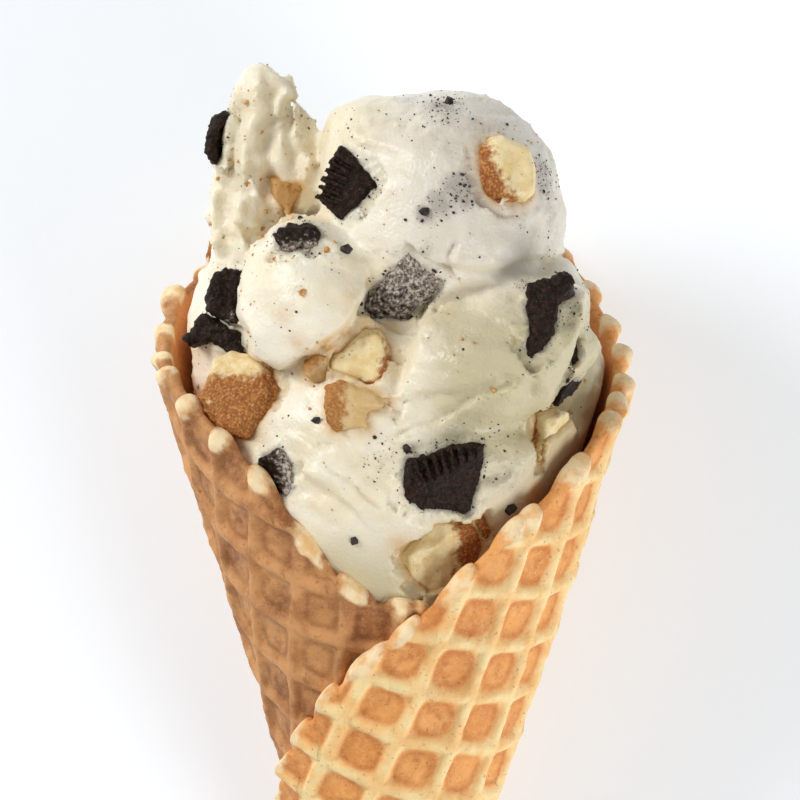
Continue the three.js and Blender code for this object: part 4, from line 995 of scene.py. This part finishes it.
# ------------ putting it together

COOKIE, CHEESECAKE = cookie_look(), cheesecake_look()

waffle = make_waffle()
waffle.data.materials.append(waffle_look())
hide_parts("waffle_cone")
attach(waffle, "root")

points, quads = custard_surface()
tree = BVHTree.FromPolygons([tuple(p) for p in points], [tuple(int(i) for i in q) for q in quads])
COOKIE_REACH, CHEESECAKE_REACH = 4.0, 3.0
near_cookie, _ = near_pieces(points, COOKIE_REACH, ("cookie",))
near_cheese, _ = near_pieces(points, CHEESECAKE_REACH, ("cheesecake",))


def seen(right, above, turn=0):
    """Where a viewer who has walked round by turn degrees sees the custard: right and above are millimetres
    from the middle of the picture."""
    aim = VIEW_MIDDLE + above * VIEW_UP + right * np.array([1, 0, 0])
    walk = Matrix.Rotation(math.radians(turn), 3, "Z")
    start, aim = walk @ Vector(VIEWER), walk @ Vector(aim)
    hit = tree.ray_cast(start, (aim - start).normalized())
    return np.array(hit[0])


def at_pixel(x, y):
    return seen((x - PICTURE / 2) * VIEW_SCALE, (PICTURE / 2 - y) * VIEW_SCALE)


# Grey smudges of cookie dust: pixel of the picture, half size in millimetres, strength.
SMUDGES = [
    (440, 105, 6.5, 0.7), (410, 100, 4.5, 0.55), (462, 190, 4.5, 1.0), (440, 203, 3.5, 0.9),
    (425, 215, 2.6, 0.9), (425, 250, 2.6, 0.6), (545, 178, 5.0, 0.8), (552, 215, 3.5, 0.6),
    (549, 250, 2.6, 0.5), (523, 225, 2.6, 0.4), (450, 150, 3.5, 0.4), (405, 125, 3.5, 0.35),
    (372, 250, 2.6, 0.4), (530, 285, 3.0, 0.8), (575, 310, 3.0, 0.6), (510, 480, 5.0, 0.5),
    (380, 460, 3.5, 0.45), (390, 445, 2.6, 0.5), (345, 500, 3.0, 0.2), (500, 440, 3.0, 0.4),
    (520, 140, 4.0, 0.3), (345, 135, 2.6, 0.35),
]
# Stains of melted crust between the pieces, listed in the same way.
STAINS = [
    (315, 364, 2.8, 1.0), (328, 346, 2.4, 0.9), (346, 335, 2.2, 0.8), (366, 327, 2.2, 0.7),
    (390, 324, 2.4, 0.6), (298, 342, 1.8, 0.5), (535, 494, 3.0, 0.9), (400, 545, 2.2, 0.6),
    (350, 300, 1.6, 0.3), (285, 318, 1.8, 0.35), (262, 385, 2.4, 0.6),
]


def spotted(values, spots):
    """The values at the custard's points, raised to those of the spots."""
    for x, y, half, strength in spots:
        away = np.linalg.norm(points - at_pixel(x, y), axis=1)
        values = np.maximum(values, strength * np.exp(-((away / half) ** 2)))
    return values


def beside_piece(away, reach, fade):
    """Falls off from 1 with the distance to the nearest piece, over fade millimetres."""
    return np.exp(-np.maximum(away, 0) / fade) * (away < reach - 0.1)


dust = spotted(np.zeros(len(points)), SMUDGES)
dust = np.maximum(dust, 0.85 * beside_piece(near_cookie, COOKIE_REACH, 1.1))
tan = spotted(beside_piece(near_cheese, CHEESECAKE_REACH, 0.9), STAINS)
# Painted shade: the ball on top is painted a little greyer on its right, the side turned from the light.
ball_right_shade = smooth(-8, 10, points[:, 0]) * smooth(160, 172, points[:, 2])
# Painted shade: the folds on the right are painted darker and yellower, as they lie in shade, and the custard
# low in the cone gets the same darker, yellower tone.
yellow_shade = smooth(2, 12, points[:, 0]) * smooth(166, 158, points[:, 2])
yellow_shade *= 0.55 + 0.45 * smooth(126, 142, points[:, 2])
yellow_shade = np.clip(yellow_shade + smooth(128, 112, points[:, 2]), 0, 1)
# Both painted shades are laid as seen from the front, and fade out round the sides.
front = smooth(12, -6, points[:, 1])
yellow_shade, ball_right_shade = yellow_shade * front, ball_right_shade * front
tones = {"dust": dust, "tan": tan, "yellow_shade": yellow_shade, "ball_right_shade": ball_right_shade}
custard = mesh_object("custard_look", points, [quads], tones)
custard.data.materials.append(custard_look())
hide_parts("custard")
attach(custard, "root")

for order, node in enumerate(PIECE_NODES):
    make_piece(node, order, COOKIE if node.startswith("cookie") else CHEESECAKE)

# ------------ crumbs


def icosahedron():
    golden = (1 + 5**0.5) / 2
    corners = [(-1, golden, 0), (1, golden, 0), (-1, -golden, 0), (1, -golden, 0)]
    corners += [(0, -1, golden), (0, 1, golden), (0, -1, -golden), (0, 1, -golden)]
    corners += [(golden, 0, -1), (golden, 0, 1), (-golden, 0, -1), (-golden, 0, 1)]
    faces = [(0, 11, 5), (0, 5, 1), (0, 1, 7), (0, 7, 10), (0, 10, 11), (1, 5, 9), (5, 11, 4), (11, 10, 2)]
    faces += [(10, 7, 6), (7, 1, 8), (3, 9, 4), (3, 4, 2), (3, 2, 6), (3, 6, 8), (3, 8, 9), (4, 9, 5)]
    faces += [(2, 4, 11), (6, 2, 10), (8, 6, 7), (9, 8, 1)]
    return np.array(corners) / np.linalg.norm(corners[0]), np.array(faces)


generator = np.random.default_rng(7)


def scattered(name, places, sizes, material):
    corners, faces = icosahedron()
    all_points, all_faces = [], []
    for n, (place, size) in enumerate(zip(places, sizes)):
        shape = corners * generator.uniform(0.6, 1.35, (len(corners), 1))
        shape = shape * generator.uniform(0.65, 1.25, 3) * size
        turn, _ = np.linalg.qr(generator.normal(size=(3, 3)))
        turn = turn * np.sign(np.linalg.det(turn))
        all_points.append(shape @ turn.T + place)
        all_faces.append(faces + len(corners) * n)
    made = mesh_object(name, np.concatenate(all_points), [np.concatenate(all_faces)])
    made.data.materials.append(material)
    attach(made, "root")


open_air = (near_cookie > 0.3) & (near_cheese > 0.3) & (points[:, 2] > 100)
open_air &= room_distance(*points.T, 0) < -0.5


def chosen(weight, count):
    weight = np.where(open_air, weight, 0)
    near = points[generator.choice(len(points), count, False, weight / weight.sum())]
    near = near + generator.uniform(-CUSTARD_CELL, CUSTARD_CELL, near.shape)
    return np.array([tree.find_nearest(Vector(place))[0] for place in near])


# The larger crumbs, which the part has too: where each is seen (right, above), and how far round the viewer
# has walked.
LARGE_CRUMBS = [
    (-9.8, 26.6, 0), (-14.9, -3.7, 0), (8.6, 52.9, 0), (4.4, 33.5, 0),
    (-8.2, -25.0, 0), (19.8, -19.2, 0), (1.0, -8.7, 0), (-17.3, 19.2, 0),
]
HIDDEN_CRUMBS = 7
GOLDEN_CRUMB = 8  # each eighth of them is of crust
CRUMB = 1.5
CRUMB_SHARE = 0.72  # a crumb's corners are uneven, so it is made this much smaller
SPECKS, GOLDEN_SPECKS = 1500, 420


def large_crumbs():
    seats = list(LARGE_CRUMBS)
    for number in range(HIDDEN_CRUMBS):
        seats.append((drawn(-14, 14), drawn(25, 46), 70 + 220 * number / HIDDEN_CRUMBS))
    places, sizes = [], []
    for right, above, turn in seats:
        size = CRUMB * drawn(0.7, 1.15)
        for _ in range(2):
            drawn(0, 3)  # the turns that the part's source draws for it
        places.append(seen(right, above, turn))
        sizes.append(CRUMB_SHARE * size)
    return np.array(places), np.array(sizes)


DARK = crumb_look("cookie_crumbs", colour(58, 44, 36), colour(24, 17, 13))
GOLD = crumb_look("crust_crumbs", colour(224, 170, 106), colour(186, 126, 70))
large_places, large_sizes = large_crumbs()
clustered = 0.5 + np.maximum(noise(points, 5, 141, 2), -0.4)
specks = chosen((0.012 + dust**2) * clustered, SPECKS)
speck_sizes = generator.gamma(1.5, 0.055, len(specks)) + 0.04
is_golden = np.arange(len(large_places)) % GOLDEN_CRUMB == GOLDEN_CRUMB - 1
specks = np.concatenate([specks, large_places[~is_golden]])
speck_sizes = np.concatenate([speck_sizes, large_sizes[~is_golden]])
scattered("cookie_specks", specks, speck_sizes, DARK)
peaked = 1 + 5 * (points[:, 0] < -12) * (points[:, 2] > 160) + 6 * tan
golden = chosen(peaked * clustered, GOLDEN_SPECKS)
golden_sizes = generator.gamma(1.6, 0.09, len(golden)) + 0.07
golden = np.concatenate([golden, large_places[is_golden]])
golden_sizes = np.concatenate([golden_sizes, large_sizes[is_golden]])
scattered("crust_specks", golden, golden_sizes, GOLD)

# ------------ floor and light

FLOOR_HALF = 3.0  # metres, like the lights' distance and sizes
LIGHT_AWAY = 0.9
KEY_SIZE, FILL_SIZE = 0.4, 0.5
KEY_WATTS, FILL_WATTS = 5.6, 4.5
LIT_HEIGHT = 145  # millimetres up the axis, where both lights point


def make_floor():
    mesh = bpy.data.meshes.new("floor")
    corners = [(x * FLOOR_HALF, y * FLOOR_HALF, 0) for x, y in ((-1, -1), (1, -1), (1, 1), (-1, 1))]
    mesh.from_pydata(corners, [], [(0, 1, 2, 3)])
    floor = linked("floor", mesh)
    look = Look("pale_floor")
    plain = look.bump(look.noise(50), 0.001)
    white = (0.72, 0.77, 0.82, 1)
    glow = {"Emission_Color": (0.8, 0.8, 0.8, 1), "Emission_Strength": 0.4}
    mesh.materials.append(look.shade(white, 0.9, plain, Specular_IOR_Level=0.1, **glow))


def make_light(name, direction, size, power):
    data = bpy.data.lights.new(name, "AREA")
    data.shape = "DISK"
    data.size = size
    data.energy = power
    light = linked(name, data)
    middle = Vector(laid((0, 0, LIT_HEIGHT)))
    away = Vector(laid_direction(direction)).normalized()
    light.location = middle + away * LIGHT_AWAY
    light.rotation_mode = "QUATERNION"
    light.rotation_quaternion = away.to_track_quat("Z", "Y")


make_floor()
scene = bpy.context.scene
world = bpy.data.worlds.new("studio")
world.use_nodes = True
world.node_tree.nodes["Background"].inputs["Color"].default_value = (1, 1, 1, 1)
world.node_tree.nodes["Background"].inputs["Strength"].default_value = 0.33
scene.world = world
make_light("key", 0.6 * TO_VIEWER + 0.5 * VIEW_UP + np.array([-0.8, 0, 0]), KEY_SIZE, KEY_WATTS)
make_light("fill", 0.7 * TO_VIEWER - 0.75 * VIEW_UP + np.array([0.85, 0, 0]), FILL_SIZE, FILL_WATTS)
scene.view_settings.view_transform = "Standard"
